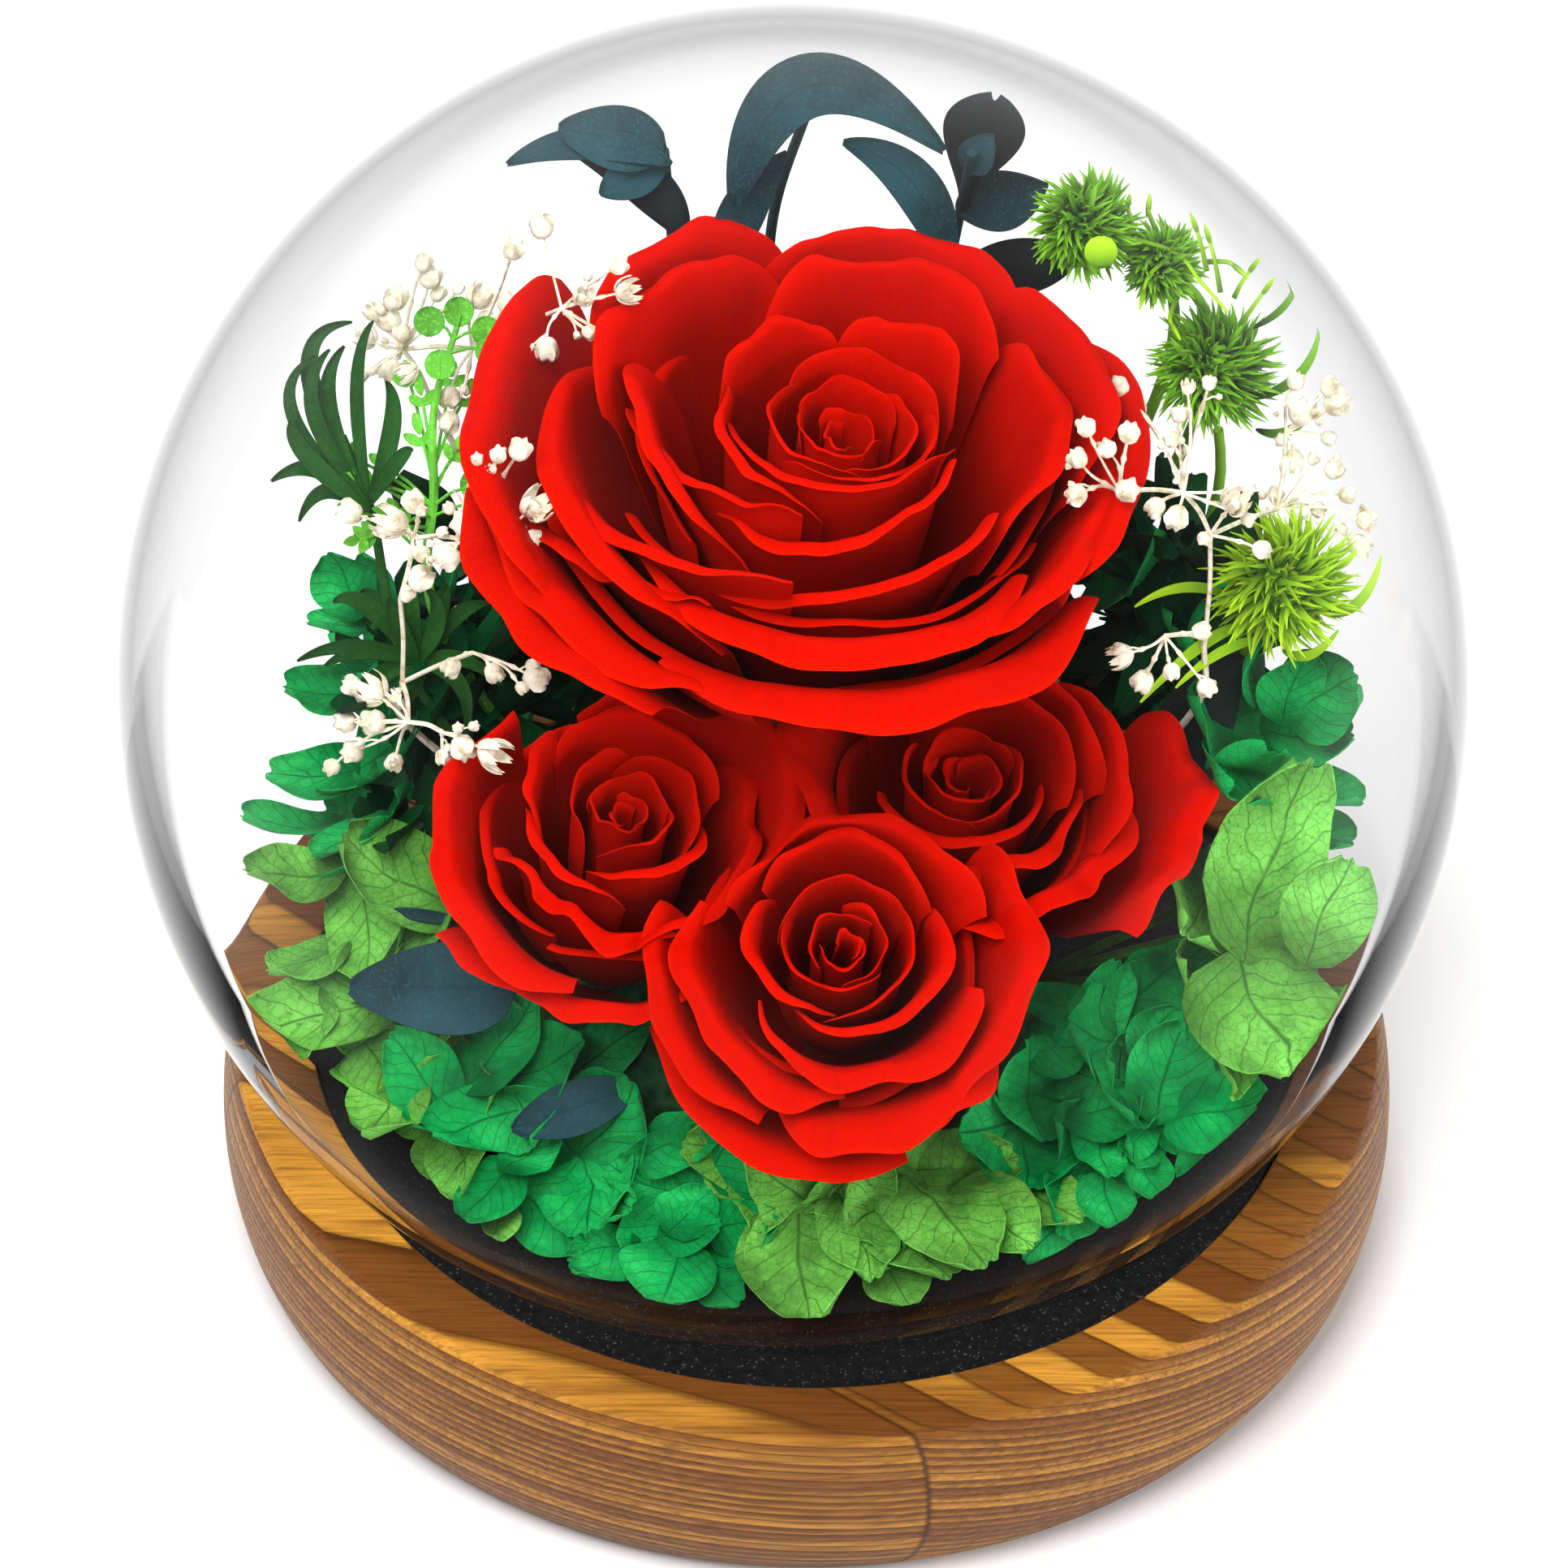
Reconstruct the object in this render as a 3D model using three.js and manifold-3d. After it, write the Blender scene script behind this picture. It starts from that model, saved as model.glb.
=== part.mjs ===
// Preserved roses under a glass dome on a turned wooden base.
// Millimetres, +Z up. The origin is on the dome's axis, at the underside of the base.
// The front of the arrangement, which the roses face, is towards -Y.
import * as THREE from 'three';
import { mergeVertices } from 'three/addons/utils/BufferGeometryUtils.js';
import Module from 'manifold-3d';

// Dome
const DOME_RADIUS = 95;
const GLASS = 2.2;
const DOME_SEGMENTS = 24;

// Wooden base and the disc in its recess, both a little off the dome's axis
const BASE_OFFSET = 2.8;
const BASE_HEIGHT = 30;
const BASE_TOP_RADIUS = 81.2;
const BASE_WIDEST_RADIUS = 84.1;
const BASE_FOOT_RADIUS = 77;
const BASE_WIDEST_HEIGHT = 16;
const BASE_SEGMENTS = 32;
const RECESS_RADIUS = 71.6;
const RECESS_FLOOR = 24;
const DISC_RADIUS = 71.2;
const DISC_TOP = 28.5;
const GAP = 0.3;

// Cuts leave no detail finer than this, and points closer than the merge distance become one
const FINEST = 0.03;
const MERGE = 1e-3;

// The dome's cut rim stands on the disc. Everything under the glass stays inside the room's radius.
const RIM_HEIGHT = DISC_TOP + GAP;
const DOME_CENTRE = RIM_HEIGHT + 69.8;
const ROOM_RADIUS = DOME_RADIUS - GLASS - 1.4;

// Foam block under the flowers
const FOAM_RADIUS = 36;
const FOAM_SHOULDER = 44;
const FOAM_TOP = 54;

// Thickness of the solids that stand for petals, leaves and stems
const PETAL = 0.9;
const LEAF = 1.0;
const STALK = 0.9;
const BUD = 1.8;
const KNOB = 3;
const FORK = 1.4;

// How far apart the blades of a fan leave their stem, as a share of the stem's length
const BLADE_STEP = 0.021;

const DEG = Math.PI / 180;
const UP = new THREE.Vector3(0, 0, 1);

const wasm = await Module();
wasm.setup();

// Solids

// A closed geometry as a solid that can be joined and cut
function toSolid(geometry, tolerance = 1e-4) {
  const bare = geometry.index ? geometry.toNonIndexed() : geometry.clone();
  bare.deleteAttribute('normal');
  bare.deleteAttribute('uv');
  const merged = mergeVertices(bare, tolerance);
  const mesh = new wasm.Mesh({
    numProp: 3,
    vertProperties: new Float32Array(merged.attributes.position.array),
    triVerts: new Uint32Array(merged.index.array),
  });
  return new wasm.Manifold(mesh);
}

// The largest body of a solid, as a geometry
function largestBody(solid) {
  const body = solid.decompose().reduce((best, next) => (next.volume() > best.volume() ? next : best));
  const mesh = body.getMesh();
  const geometry = new THREE.BufferGeometry();
  geometry.setAttribute('position', new THREE.BufferAttribute(mesh.vertProperties, 3));
  geometry.setIndex(new THREE.BufferAttribute(mesh.triVerts, 1));
  return geometry;
}

// A solid as a geometry of one body, without the slivers that cuts leave
function toGeometry(solid) {
  const smooth = toSolid(largestBody(solid)).simplify(FINEST);
  const plain = largestBody(toSolid(largestBody(smooth), MERGE));
  plain.computeVertexNormals();
  return plain;
}

function join(solids) {
  return solids.reduce((all, next) => all.add(next));
}

function solidFrom(points, index) {
  const geometry = new THREE.BufferGeometry();
  const numbers = points.flatMap((p) => p.toArray());
  geometry.setAttribute('position', new THREE.Float32BufferAttribute(numbers, 3));
  geometry.setIndex(index);
  return toSolid(geometry);
}

// A closed plate around the middle surface that surface(u, v) gives, u from -1 to 1 and v from 0 to 1
function plate(surface, thickness, columns, rows) {
  const points = [];
  const step = 0.01;
  for (const side of [0.5, -0.5]) {
    for (let j = 0; j <= rows; j++) {
      for (let i = 0; i <= columns; i++) {
        const u = -1 + (2 * i) / columns;
        const v = j / rows;
        const along = surface(u, Math.min(v + step, 1)).sub(surface(u, Math.max(v - step, 0)));
        const across = surface(Math.min(u + step, 1), v).sub(surface(Math.max(u - step, -1), v));
        const normal = across.cross(along).normalize();
        points.push(surface(u, v).addScaledVector(normal, side * thickness));
      }
    }
  }
  const at = (i, j, side) => side * (columns + 1) * (rows + 1) + j * (columns + 1) + i;
  const index = [];
  const quad = (a, b, c, d) => index.push(a, b, c, a, c, d);
  for (let j = 0; j < rows; j++) {
    for (let i = 0; i < columns; i++) {
      quad(at(i, j, 0), at(i + 1, j, 0), at(i + 1, j + 1, 0), at(i, j + 1, 0));
      quad(at(i, j, 1), at(i, j + 1, 1), at(i + 1, j + 1, 1), at(i + 1, j, 1));
    }
    quad(at(0, j, 0), at(0, j + 1, 0), at(0, j + 1, 1), at(0, j, 1));
    quad(at(columns, j, 0), at(columns, j, 1), at(columns, j + 1, 1), at(columns, j + 1, 0));
  }
  for (let i = 0; i < columns; i++) {
    quad(at(i, 0, 0), at(i, 0, 1), at(i + 1, 0, 1), at(i + 1, 0, 0));
    quad(at(i, rows, 0), at(i + 1, rows, 0), at(i + 1, rows, 1), at(i, rows, 1));
  }
  return solidFrom(points, index);
}

// A stalk along points, closed at both ends. Stations give the place along it, from 0 to 1, and the radius.
function stalk(points, stations, sides = 4) {
  const path = new THREE.CatmullRomCurve3(points);
  const steps = 40;
  const frames = path.computeFrenetFrames(steps, false);
  const rows = stations.length - 1;
  const rings = [];
  for (const [at, radius] of stations) {
    const centre = path.getPointAt(at);
    const j = Math.round(at * steps);
    for (let i = 0; i < sides; i++) {
      const angle = (2 * Math.PI * i) / sides;
      const point = centre.clone();
      point.addScaledVector(frames.normals[j], radius * Math.cos(angle));
      point.addScaledVector(frames.binormals[j], radius * Math.sin(angle));
      rings.push(point);
    }
  }
  const index = [];
  for (let j = 0; j < rows; j++) {
    for (let i = 0; i < sides; i++) {
      const next = (i + 1) % sides;
      const a = j * sides + i;
      const b = j * sides + next;
      index.push(a, b, b + sides, a, b + sides, a + sides);
    }
  }
  const last = rows * sides;
  for (let i = 1; i < sides - 1; i++) {
    index.push(0, i + 1, i);
    index.push(last, last + i, last + i + 1);
  }
  return solidFrom(rings, index);
}

function stemStations(grow) {
  return [0, 0.2, 0.4, 0.6, 0.8, 1].map((at) => [at, 1 - 0.3 * at + grow]);
}

function vec(list) {
  return new THREE.Vector3(...list);
}

function lathe(profile, segments) {
  return toSolid(new THREE.LatheGeometry(profile.map(([r, z]) => new THREE.Vector2(r, z)), segments)
    .rotateX(Math.PI / 2));
}

// Dome, base, disc and foam

function arc(radius, centre, from, to, steps) {
  return Array.from({ length: steps + 1 }, (_, i) => {
    const angle = (from + ((to - from) * i) / steps) * DEG;
    return [radius * Math.cos(angle), centre + radius * Math.sin(angle)];
  });
}

function domeShell(radius) {
  const low = Math.asin((RIM_HEIGHT - DOME_CENTRE) / radius) / DEG;
  return [...arc(radius, DOME_CENTRE, low, 0, 3), ...arc(radius, DOME_CENTRE, 0, 90, 6).slice(1)];
}

function glassDome() {
  const outer = domeShell(DOME_RADIUS);
  const inner = domeShell(DOME_RADIUS - GLASS);
  outer[outer.length - 1][0] = 0;
  inner[inner.length - 1][0] = 0;
  return lathe([...inner.reverse(), ...outer], DOME_SEGMENTS);
}

function woodenBase() {
  const lower = BASE_WIDEST_HEIGHT;
  const upper = BASE_HEIGHT - BASE_WIDEST_HEIGHT;
  const side = [];
  for (const angle of [-90, -55, -25, 0, 30, 60, 80]) {
    const rise = Math.sin(angle * DEG);
    const inset = rise < 0 ? BASE_WIDEST_RADIUS - BASE_FOOT_RADIUS : BASE_WIDEST_RADIUS - BASE_TOP_RADIUS;
    const r = BASE_WIDEST_RADIUS - inset * (1 - Math.cos(angle * DEG));
    side.push([r, BASE_WIDEST_HEIGHT + rise * (rise < 0 ? lower : upper)]);
  }
  const profile = [[0, 0], ...side, [BASE_TOP_RADIUS - 0.6, BASE_HEIGHT], [RECESS_RADIUS, BASE_HEIGHT],
    [RECESS_RADIUS, RECESS_FLOOR], [0, RECESS_FLOOR]];
  return lathe(profile, BASE_SEGMENTS).translate([BASE_OFFSET, 0, 0]);
}

function blackDisc() {
  const floor = RECESS_FLOOR + GAP;
  const profile = [[0, floor], [DISC_RADIUS, floor], [DISC_RADIUS, DISC_TOP - 0.8],
    [DISC_RADIUS - 0.8, DISC_TOP], [0, DISC_TOP]];
  return lathe(profile, BASE_SEGMENTS).translate([BASE_OFFSET, 0, 0]);
}

function floralFoam(grow) {
  const r = FOAM_RADIUS + grow;
  const profile = [[0, DISC_TOP + GAP - grow], [r, DISC_TOP + GAP - grow], [r, FOAM_SHOULDER + grow],
    [r * 0.72, FOAM_TOP + grow], [0, FOAM_TOP + grow]];
  return lathe(profile, 20);
}

// Roses. Each stands on a seat, along an axis, and its petals are laid around that axis.
// Petal rows: turn and half width in degrees, height of the foot on the hip, belly and rim radius,
// top height, how far the lip folds out and drops, how round the rim is, how much one side tucks in,
// how much it slants.
const ROSES = {
  giant_rose: {
    seat: [2.3, 16.4, 88.4],
    axis: [0.1, -0.07, 0.99],
    stem: [1, 8, 50],
    hip: 9,
    heart: { radius: 10.5, height: 45, turns: 2.3, cup: 14, rim: 53 },
    petals: [
      [-84, 54, 2, 18, 21, 50, 1.8, 2.5, 0.25, 3.5, 0],
      [-163, 44, 2, 20, 27, 51, 3, 1.5, 0.4, 0, 1],
      [2, 44, 2, 20, 27, 52, 3, 1.5, 0.4, 0, -1],
      [-90, 54, -0.5, 27, 33, 48.5, 6, 6.5, 0.25, 3, 0],
      [-158, 44, -0.5, 31, 38, 50, 5, 4.5, 0.35, 0, 1.5],
      [-138, 32, -2, 38, 45, 45, 8, 5, 0.3, 1.5, 2],
      [-76, 47, -3, 33, 39, 45.5, 8.5, 8.5, 0.22, 1.5, 0],
      [-27, 38, -0.5, 29, 34.5, 48, 4, 3.5, 0.3, -1, -2],
      [-4, 42, -2, 32, 37, 50, 3.8, 4, 0.3, -1, -3],
      [146, 36, 1, 24, 31, 54.5, 2, 2, 0.3, -5, 0],
      [78, 44, 1, 20, 23.5, 56, 1.5, 1, 0.3, 3, 0],
      [80, 38, -0.5, 26, 31, 55.5, 2, 2, 0.4, 2, 0],
      [-176, 38, -3, 39, 47.5, 50, 6, 4, 0.3, -2, 3],
      [-147, 28, -3, 40, 48.5, 43.5, 8.5, 4, 0.3, 0, 2],
    ],
  },
  left_rose: {
    seat: [-26.2, -11.6, 56.7],
    axis: [0.09, -0.17, 0.981],
    stem: [-15, -6, 42],
    hip: 5,
    heart: { radius: 7, height: 33, turns: 2, cup: 11, rim: 37 },
    petals: [
      [-112, 56, 0, 13.5, 15.5, 32.5, 2.5, 4, 0.22, 0, 1],
      [46, 66, -0.5, 17, 20, 38.5, 2.5, 3, 0.3, 0, 0],
      [-20, 62, 0, 15, 16.3, 34.5, 2.5, 4, 0.25, 2.6, -1.5],
      [-163, 60, -1, 18, 22.5, 33.5, 3.5, 3, 0.2, -1, 5],
      [-104, 46, -2, 19, 23, 24, 4.5, 2.5, 0.15, 0, 0],
    ],
  },
  front_rose: {
    seat: [6.8, -22.5, 54.8],
    axis: [0.02, -0.42, 0.907],
    stem: [3, -8, 42],
    hip: 5.5,
    heart: { radius: 7.5, height: 29, turns: 2.2, cup: 11.5, rim: 34 },
    petals: [
      [-80, 64, 2, 14, 16.5, 31.5, 2.5, 3, 0.2, -2, 0],
      [88, 74, 1, 14, 15.8, 35.5, 1.8, 2, 0.3, 1, 0],
      [-142, 54, 0, 16, 18.5, 31, 4, 4.5, 0.2, 0, 3],
      [-14, 52, -1, 19, 22.5, 32, 5, 4.5, 0.25, 1.5, -3],
      [-66, 48, -2.2, 18, 21, 27.5, 5.5, 5, 0.2, -1.5, 0],
    ],
  },
  right_rose: {
    seat: [22.5, -2.5, 57.5],
    axis: [0.07, -0.17, 0.977],
    stem: [14, -3, 42],
    hip: 5,
    heart: { radius: 6.5, height: 31, turns: 2, cup: 10.5, rim: 35 },
    petals: [
      [-70, 70, 1.5, 11.5, 13.5, 32.5, 3, 3, 0.22, -3, 0],
      [74, 76, 0.4, 14.6, 16.6, 37, 2.5, 3, 0.3, 0.6, 0],
      [-174, 54, 0, 15.5, 19.5, 34, 3.5, 2, 0.3, 3.5, 0],
      [-40, 52, -1, 16.5, 19.5, 31, 4.5, 4, 0.25, -1, 0],
      [-4, 35, -2, 23, 29, 30.5, 4.5, 4, 0.3, 0.5, -3],
    ],
  },
};

function roseFrame(rose) {
  const axis = vec(rose.axis).normalize();
  const x = new THREE.Vector3(1, 0, 0).addScaledVector(axis, -axis.x).normalize();
  const y = new THREE.Vector3().crossVectors(axis, x);
  const seat = vec(rose.seat);
  return (angle, r, z) => seat.clone()
    .addScaledVector(x, r * Math.cos(angle))
    .addScaledVector(y, r * Math.sin(angle))
    .addScaledVector(axis, z);
}

function bezier(a, b, c, d, t) {
  const s = 1 - t;
  return s * s * s * a + 3 * s * s * t * b + 3 * s * t * t * c + t * t * t * d;
}

function petalSurface(place, row, hip) {
  const [turn, half, foot, belly, rim, top, lip, drop, round, tuck, slant] = row;
  return (u, v) => {
    const s = v * (1 - round * Math.abs(u) ** 2.6);
    const spread = half * (0.6 + 0.4 * Math.min(1, v / 0.5));
    const r = bezier(hip + 0.8, belly, rim, rim + lip, s) + tuck * u * s;
    const z = bezier(foot, 0.3 * top, top * 1.05, top - drop, s) + slant * u * s;
    return place((turn - spread * u) * DEG, r, z);
  };
}

// A short turned body around a rose's axis
function turned(profile, place, segments) {
  const shape = new THREE.LatheGeometry(profile.map(([r, z]) => new THREE.Vector2(r, z)), segments);
  const origin = place(0, 0, 0);
  const basis = new THREE.Matrix4().makeBasis(
    place(0, 1, 0).sub(origin), place(0, 0, 1).sub(origin), place(-Math.PI / 2, 1, 0).sub(origin));
  return toSolid(shape.applyMatrix4(basis.setPosition(origin)));
}

// The rolled middle of a rose with its inner cup of petals, the hip under it and the stem
function roseHeart(rose, grow) {
  const place = roseFrame(rose);
  const { radius, height, turns, cup, rim } = rose.heart;
  const hip = rose.hip + grow;
  const roll = plate((u, v) => {
    const t = (u + 1) / 2;
    const r = 1.8 + (radius - 1.8) * t;
    const flare = 0.5 + 0.5 * v;
    return place(-t * turns * 2 * Math.PI, r * flare, 3 + (height + 5 * t - 3) * v);
  }, PETAL + 2 * grow, 12, 1);
  const inner = [90, -30, -150].map((turn) => plate(
    petalSurface(place, [turn, 64, 2, cup, cup, rim, 1, 1, 0.3, 1.2, 0], rose.hip - 1.5),
    PETAL + 2 * grow, 3, 2));
  const base = turned([[0, -hip], [0.4 * hip, -hip], [hip, -0.3 * hip], [hip, 0.2 * hip],
    [0, 4 + grow]], place, 6);
  const neck = place(0, 0, -0.7 * rose.hip);
  const stem = stalk([vec(rose.stem), neck.clone().lerp(vec(rose.stem), 0.5).add(vec([0, 0, 2])), neck],
    [[0, 2.2 + grow], [1, 2.2 + grow]]);
  return join([base, stem, roll, ...inner]);
}

// Hydrangea heads. Floret rows: place, radius, spin in degrees. Florets face outwards and up.
const FLORET_LIFT = 0.9;

const HYDRANGEAS = {
  hydrangea_left: {
    root: [-35, 4, 40],
    florets: [[-58, 25, 94, 13, 20], [-61, 14, 80, 14, 60], [-64, 8, 66, 14, 10]],
  },
  hydrangea_lower_left: {
    root: [-33, -8, 38],
    florets: [
      [-54, -3, 62, 15, 15], [-64, -4, 52, 15, 50], [-57, -18, 47, 15, 70], [-51, -30, 41, 14, 10],
    ],
  },
  hydrangea_front_left: {
    root: [-24, -26, 38],
    florets: [[-41, -28, 50, 15, 10], [-30, -40, 42, 16, 35], [-11, -48, 41, 15, 15]],
  },
  hydrangea_front: {
    root: [4, -36, 36],
    florets: [[-4, -42, 47, 13, 40], [5, -50, 42, 16, 0], [22, -45, 43, 16, 60]],
  },
  hydrangea_front_right: {
    root: [28, -24, 38],
    florets: [
      [35, -36, 48, 14, 25], [46, -39, 41, 15, 70], [57, -28, 45, 15, 50], [50, -25, 56, 14, 80],
    ],
  },
  hydrangea_right: {
    root: [34, 0, 40],
    florets: [[63, -12, 72, 16, 20], [67, -21, 57, 16, 60], [73, -9, 64, 13, 0]],
  },
  hydrangea_right_high: {
    root: [33, 12, 42],
    florets: [[68, 6, 87, 15, 40], [62, 24, 92, 14, 70], [58, 28, 74, 15, 30]],
  },
  hydrangea_back: {
    root: [0, 36, 40],
    florets: [
      [-34, 50, 62, 16, 10], [0, 58, 66, 16, 50], [34, 50, 62, 16, 70], [-47, 36, 46, 15, 30],
      [-18, 54, 44, 15, 0], [14, 54, 44, 15, 60], [44, 38, 46, 15, 35],
    ],
  },
};

// Three rim points to each sepal: its notch and the two corners of its tip
const lobeShape = (i) => [0.1, 1, 1][i % 3];

// A floret of four sepals as one lobed, slightly cupped plate whose stalk runs down to the head's root
function floret(row, root, grow) {
  const [x, y, z, radius, spin] = row;
  const centre = vec([x, y, z]);
  const normal = vec([x, y, 0]).normalize().addScaledVector(UP, FLORET_LIFT).normalize();
  const side = new THREE.Vector3().crossVectors(UP, normal).normalize();
  const front = new THREE.Vector3().crossVectors(normal, side);
  const around = (angle, reach, rise) => centre.clone()
    .addScaledVector(side, reach * Math.cos(angle))
    .addScaledVector(front, reach * Math.sin(angle))
    .addScaledVector(normal, rise);
  const lobes = 12;
  const half = LEAF / 2 + grow;
  const points = [around(0, 0, half), root];
  for (const rise of [half, -half]) {
    for (let i = 0; i < lobes; i++) {
      const angle = (2 * Math.PI * i) / lobes + spin * DEG;
      points.push(around(angle, radius * (0.5 + 0.5 * lobeShape(i)) + grow, 0.1 * radius + rise));
    }
  }
  for (let k = 0; k < 3; k++) {
    points.push(around((2 * Math.PI * k) / 3 + spin * DEG, STALK + grow, -half));
  }
  const [top, low, ring] = [2, 2 + lobes, 2 + 2 * lobes];
  const index = [];
  for (let i = 0; i < lobes; i++) {
    const next = (i + 1) % lobes;
    const foot = ring + Math.floor(i / 4);
    index.push(0, top + i, top + next, low + next, low + i, foot);
    index.push(top + i, low + i, low + next, top + i, low + next, top + next);
    if (i % 4 === 3) index.push(low + next, foot, ring + ((Math.floor(i / 4) + 1) % 3));
  }
  for (let k = 0; k < 3; k++) index.push(1, ring + ((k + 1) % 3), ring + k);
  return solidFrom(points, index);
}

function hydrangea(head, grow) {
  const root = vec(head.root);
  const knob = toSolid(new THREE.OctahedronGeometry(KNOB + grow)).translate(head.root);
  return join([knob, ...head.florets.map((row) => floret(row, root, grow))]);
}

// Leaves. A leaf runs from its base to its tip, bows up along its middle, and faces along its normal.
function leaf(row, grow) {
  const { base, middle, tip, width, bow = 0, facing = [0, -0.7, 0.7], wide = 0.5 } = row;
  const a = vec(base);
  const along = vec(tip).sub(a);
  const bend = middle ? vec(middle).sub(a).addScaledVector(along, -0.5) : vec([0, 0, 0]);
  const lean = vec(facing).dot(along) / along.lengthSq();
  const normal = vec(facing).addScaledVector(along, -lean).normalize();
  const side = new THREE.Vector3().crossVectors(along, normal).normalize();
  return plate((u, v) => {
    const power = Math.log(0.5) / Math.log(wide);
    const half = (width / 2) * (0.12 + 0.88 * Math.sin(Math.PI * v ** power) ** 0.75);
    return a.clone()
      .addScaledVector(along, v)
      .addScaledVector(bend, 4 * v * (1 - v))
      .addScaledVector(side, (half + grow) * u)
      .addScaledVector(normal, bow * 4 * v * (1 - v) + 0.12 * width * u * u);
  }, LEAF + 2 * grow, 2, middle ? 5 : 3);
}

const EUCALYPTUS = {
  eucalyptus_left: {
    stem: [[-10, 32, 50], [-15, 54, 95], [-18, 59, 128], [-19, 50, 153]],
    leaves: [
      { base: [-16, 48, 155], tip: [-34, 52, 155], width: 9.5, bow: 1, facing: [0.1, -0.6, 0.8], wide: 0.4 },
      { base: [-15, 46, 149], tip: [-28, 45, 149], width: 6.5, bow: 1 },
      { base: [-18, 47, 153], middle: [-30, 50, 154], tip: [-41, 50, 150], width: 5 },
      { base: [-16, 45, 141], middle: [-22, 49, 148], tip: [-32, 51, 152], width: 6.5 },
    ],
  },
  eucalyptus_middle: {
    stem: [[-2, 34, 50], [-3, 56, 95], [-4, 61, 128], [3, 52, 160]],
    leaves: [
      { base: [2, 49, 160], middle: [9, 49, 166], tip: [20, 45, 158], width: 9 },
      { base: [0, 54, 150], middle: [-4, 48, 158], tip: [-9, 43, 149], width: 8 },
      { base: [-2, 48, 155], middle: [-8, 46, 146], tip: [-10, 43, 137], width: 7 },
    ],
  },
  eucalyptus_right: {
    stem: [[8, 32, 50], [16, 54, 93], [22, 59, 128], [24, 47, 156]],
    leaves: [
      { base: [25, 46, 134], tip: [27, 50, 163], width: 11.5, bow: 1, facing: [0, -0.8, 0.6], wide: 0.6 },
      { base: [16, 49, 150], tip: [27, 50, 157], width: 5.5, bow: 1, facing: [0.1, -0.5, 0.8] },
      { base: [27, 47, 134], tip: [35, 52, 146], width: 9, bow: 1, facing: [0, -0.8, 0.5] },
      { base: [29, 56, 117], tip: [39, 49, 135], width: 9, bow: 1, facing: [0, -0.9, 0.4] },
      { base: [21, 45, 136], middle: [16, 48, 149], tip: [6, 50, 155], width: 7 },
    ],
  },
};

const LOW_LEAVES = {
  eucalyptus_leaf_left: { base: [-38, -23, 60], tip: [-61, -21, 58], width: 13, bow: 1, wide: 0.35 },
  eucalyptus_leaf_front: { base: [-21, -32, 50], tip: [-38, -38, 48], width: 7.5, bow: 1, wide: 0.5 },
};

function eucalyptus(sprig, grow) {
  const stem = stalk(sprig.stem.map(vec), stemStations(grow));
  const path = new THREE.CatmullRomCurve3(sprig.stem.map(vec));
  const leaves = sprig.leaves.map((row) => {
    const base = vec(row.base);
    const near = path.getSpacedPoints(24)
      .reduce((best, p) => (p.distanceTo(base) < best.distanceTo(base) ? p : best));
    return leaf({ ...row, base: near.toArray() }, grow);
  });
  return join([stem, ...leaves]);
}

// Fringed green flower balls, each on its own stem
const BALLS = {
  dianthus_ball_top: {
    centre: [40, 39, 150],
    radius: 8.5,
    stem: [[20, 28, 50], [48, 46, 100], [53, 47, 130]],
  },
  dianthus_ball_upper: {
    centre: [51, 38, 144],
    radius: 6.5,
    stem: [[23, 25, 50], [54, 43, 100], [58, 45, 126]],
  },
  dianthus_ball_middle: { centre: [59, 37, 125], radius: 10, stem: [[26, 21, 50], [58, 38, 90]] },
  dianthus_ball_low: { centre: [69, 14, 105], radius: 11, stem: [[30, 15, 50], [60, 16, 82]] },
};

function dianthus(ball, grow) {
  const shape = new THREE.IcosahedronGeometry(1, 1);
  const position = shape.attributes.position;
  for (let i = 0; i < position.count; i++) {
    const point = new THREE.Vector3().fromBufferAttribute(position, i).normalize();
    const corner = Math.max(...[0, 1, 2].map((k) => Math.abs(point.getComponent(k))));
    const spike = Math.abs(corner - 0.8507) < 0.01 ? 1.1 : 0.78;
    point.multiplyScalar(ball.radius * spike + grow);
    position.setXYZ(i, point.x, point.y, point.z);
  }
  const head = toSolid(shape).translate(ball.centre);
  const stem = stalk([...ball.stem.map(vec), vec(ball.centre)], stemStations(grow));
  return join([stem, head]);
}

// Baby's breath. A stem forks into crowns, and each twig from a crown ends in a round bud.
const SPRAYS = {
  babys_breath_high: {
    stem: [[-22, 26, 50], [-46, 40, 98], [-54, 42, 124]],
    crowns: [
      { at: [-36, 38, 143], buds: [[-32, 49, 152], [-24, 27, 150], [-29, 23, 148], [-35, 20, 144]] },
      { at: [-52, 42, 130], buds: [[-39, 43, 143], [-52, 42, 138], [-58, 40, 133]] },
    ],
  },
  babys_breath_left: {
    stem: [[-28, 10, 50], [-54, 8, 80], [-57, 6, 98]],
    crowns: [
      { at: [-52, 4, 112], buds: [[-63, 20, 112], [-44, -2, 132], [-37, -1, 132], [-40, 10, 134]] },
      { at: [-54, 2, 106], buds: [[-49, 4, 118], [-41, -7, 127]] },
      { at: [-58, 2, 90], buds: [[-64, 1, 88], [-57, -4, 86], [-46, -9, 96], [-43, -15, 98]] },
    ],
  },
  babys_breath_right: {
    stem: [[32, 10, 50], [56, 8, 84], [58, 8, 100]],
    crowns: [
      { at: [54, 9.6, 122.4], buds: [[39, 11, 132], [41.6, 3.6, 132.8], [47.6, 2.6, 130.4], [46, 26, 132]] },
      { at: [62, 14, 116], buds: [[73, 27, 126], [68, 30, 128], [75, 24, 117], [79, 24, 108]] },
      { at: [56, 6, 104], buds: [[47, 6, 98], [50, 0, 98], [58, -1, 98]] },
    ],
  },
};

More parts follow.
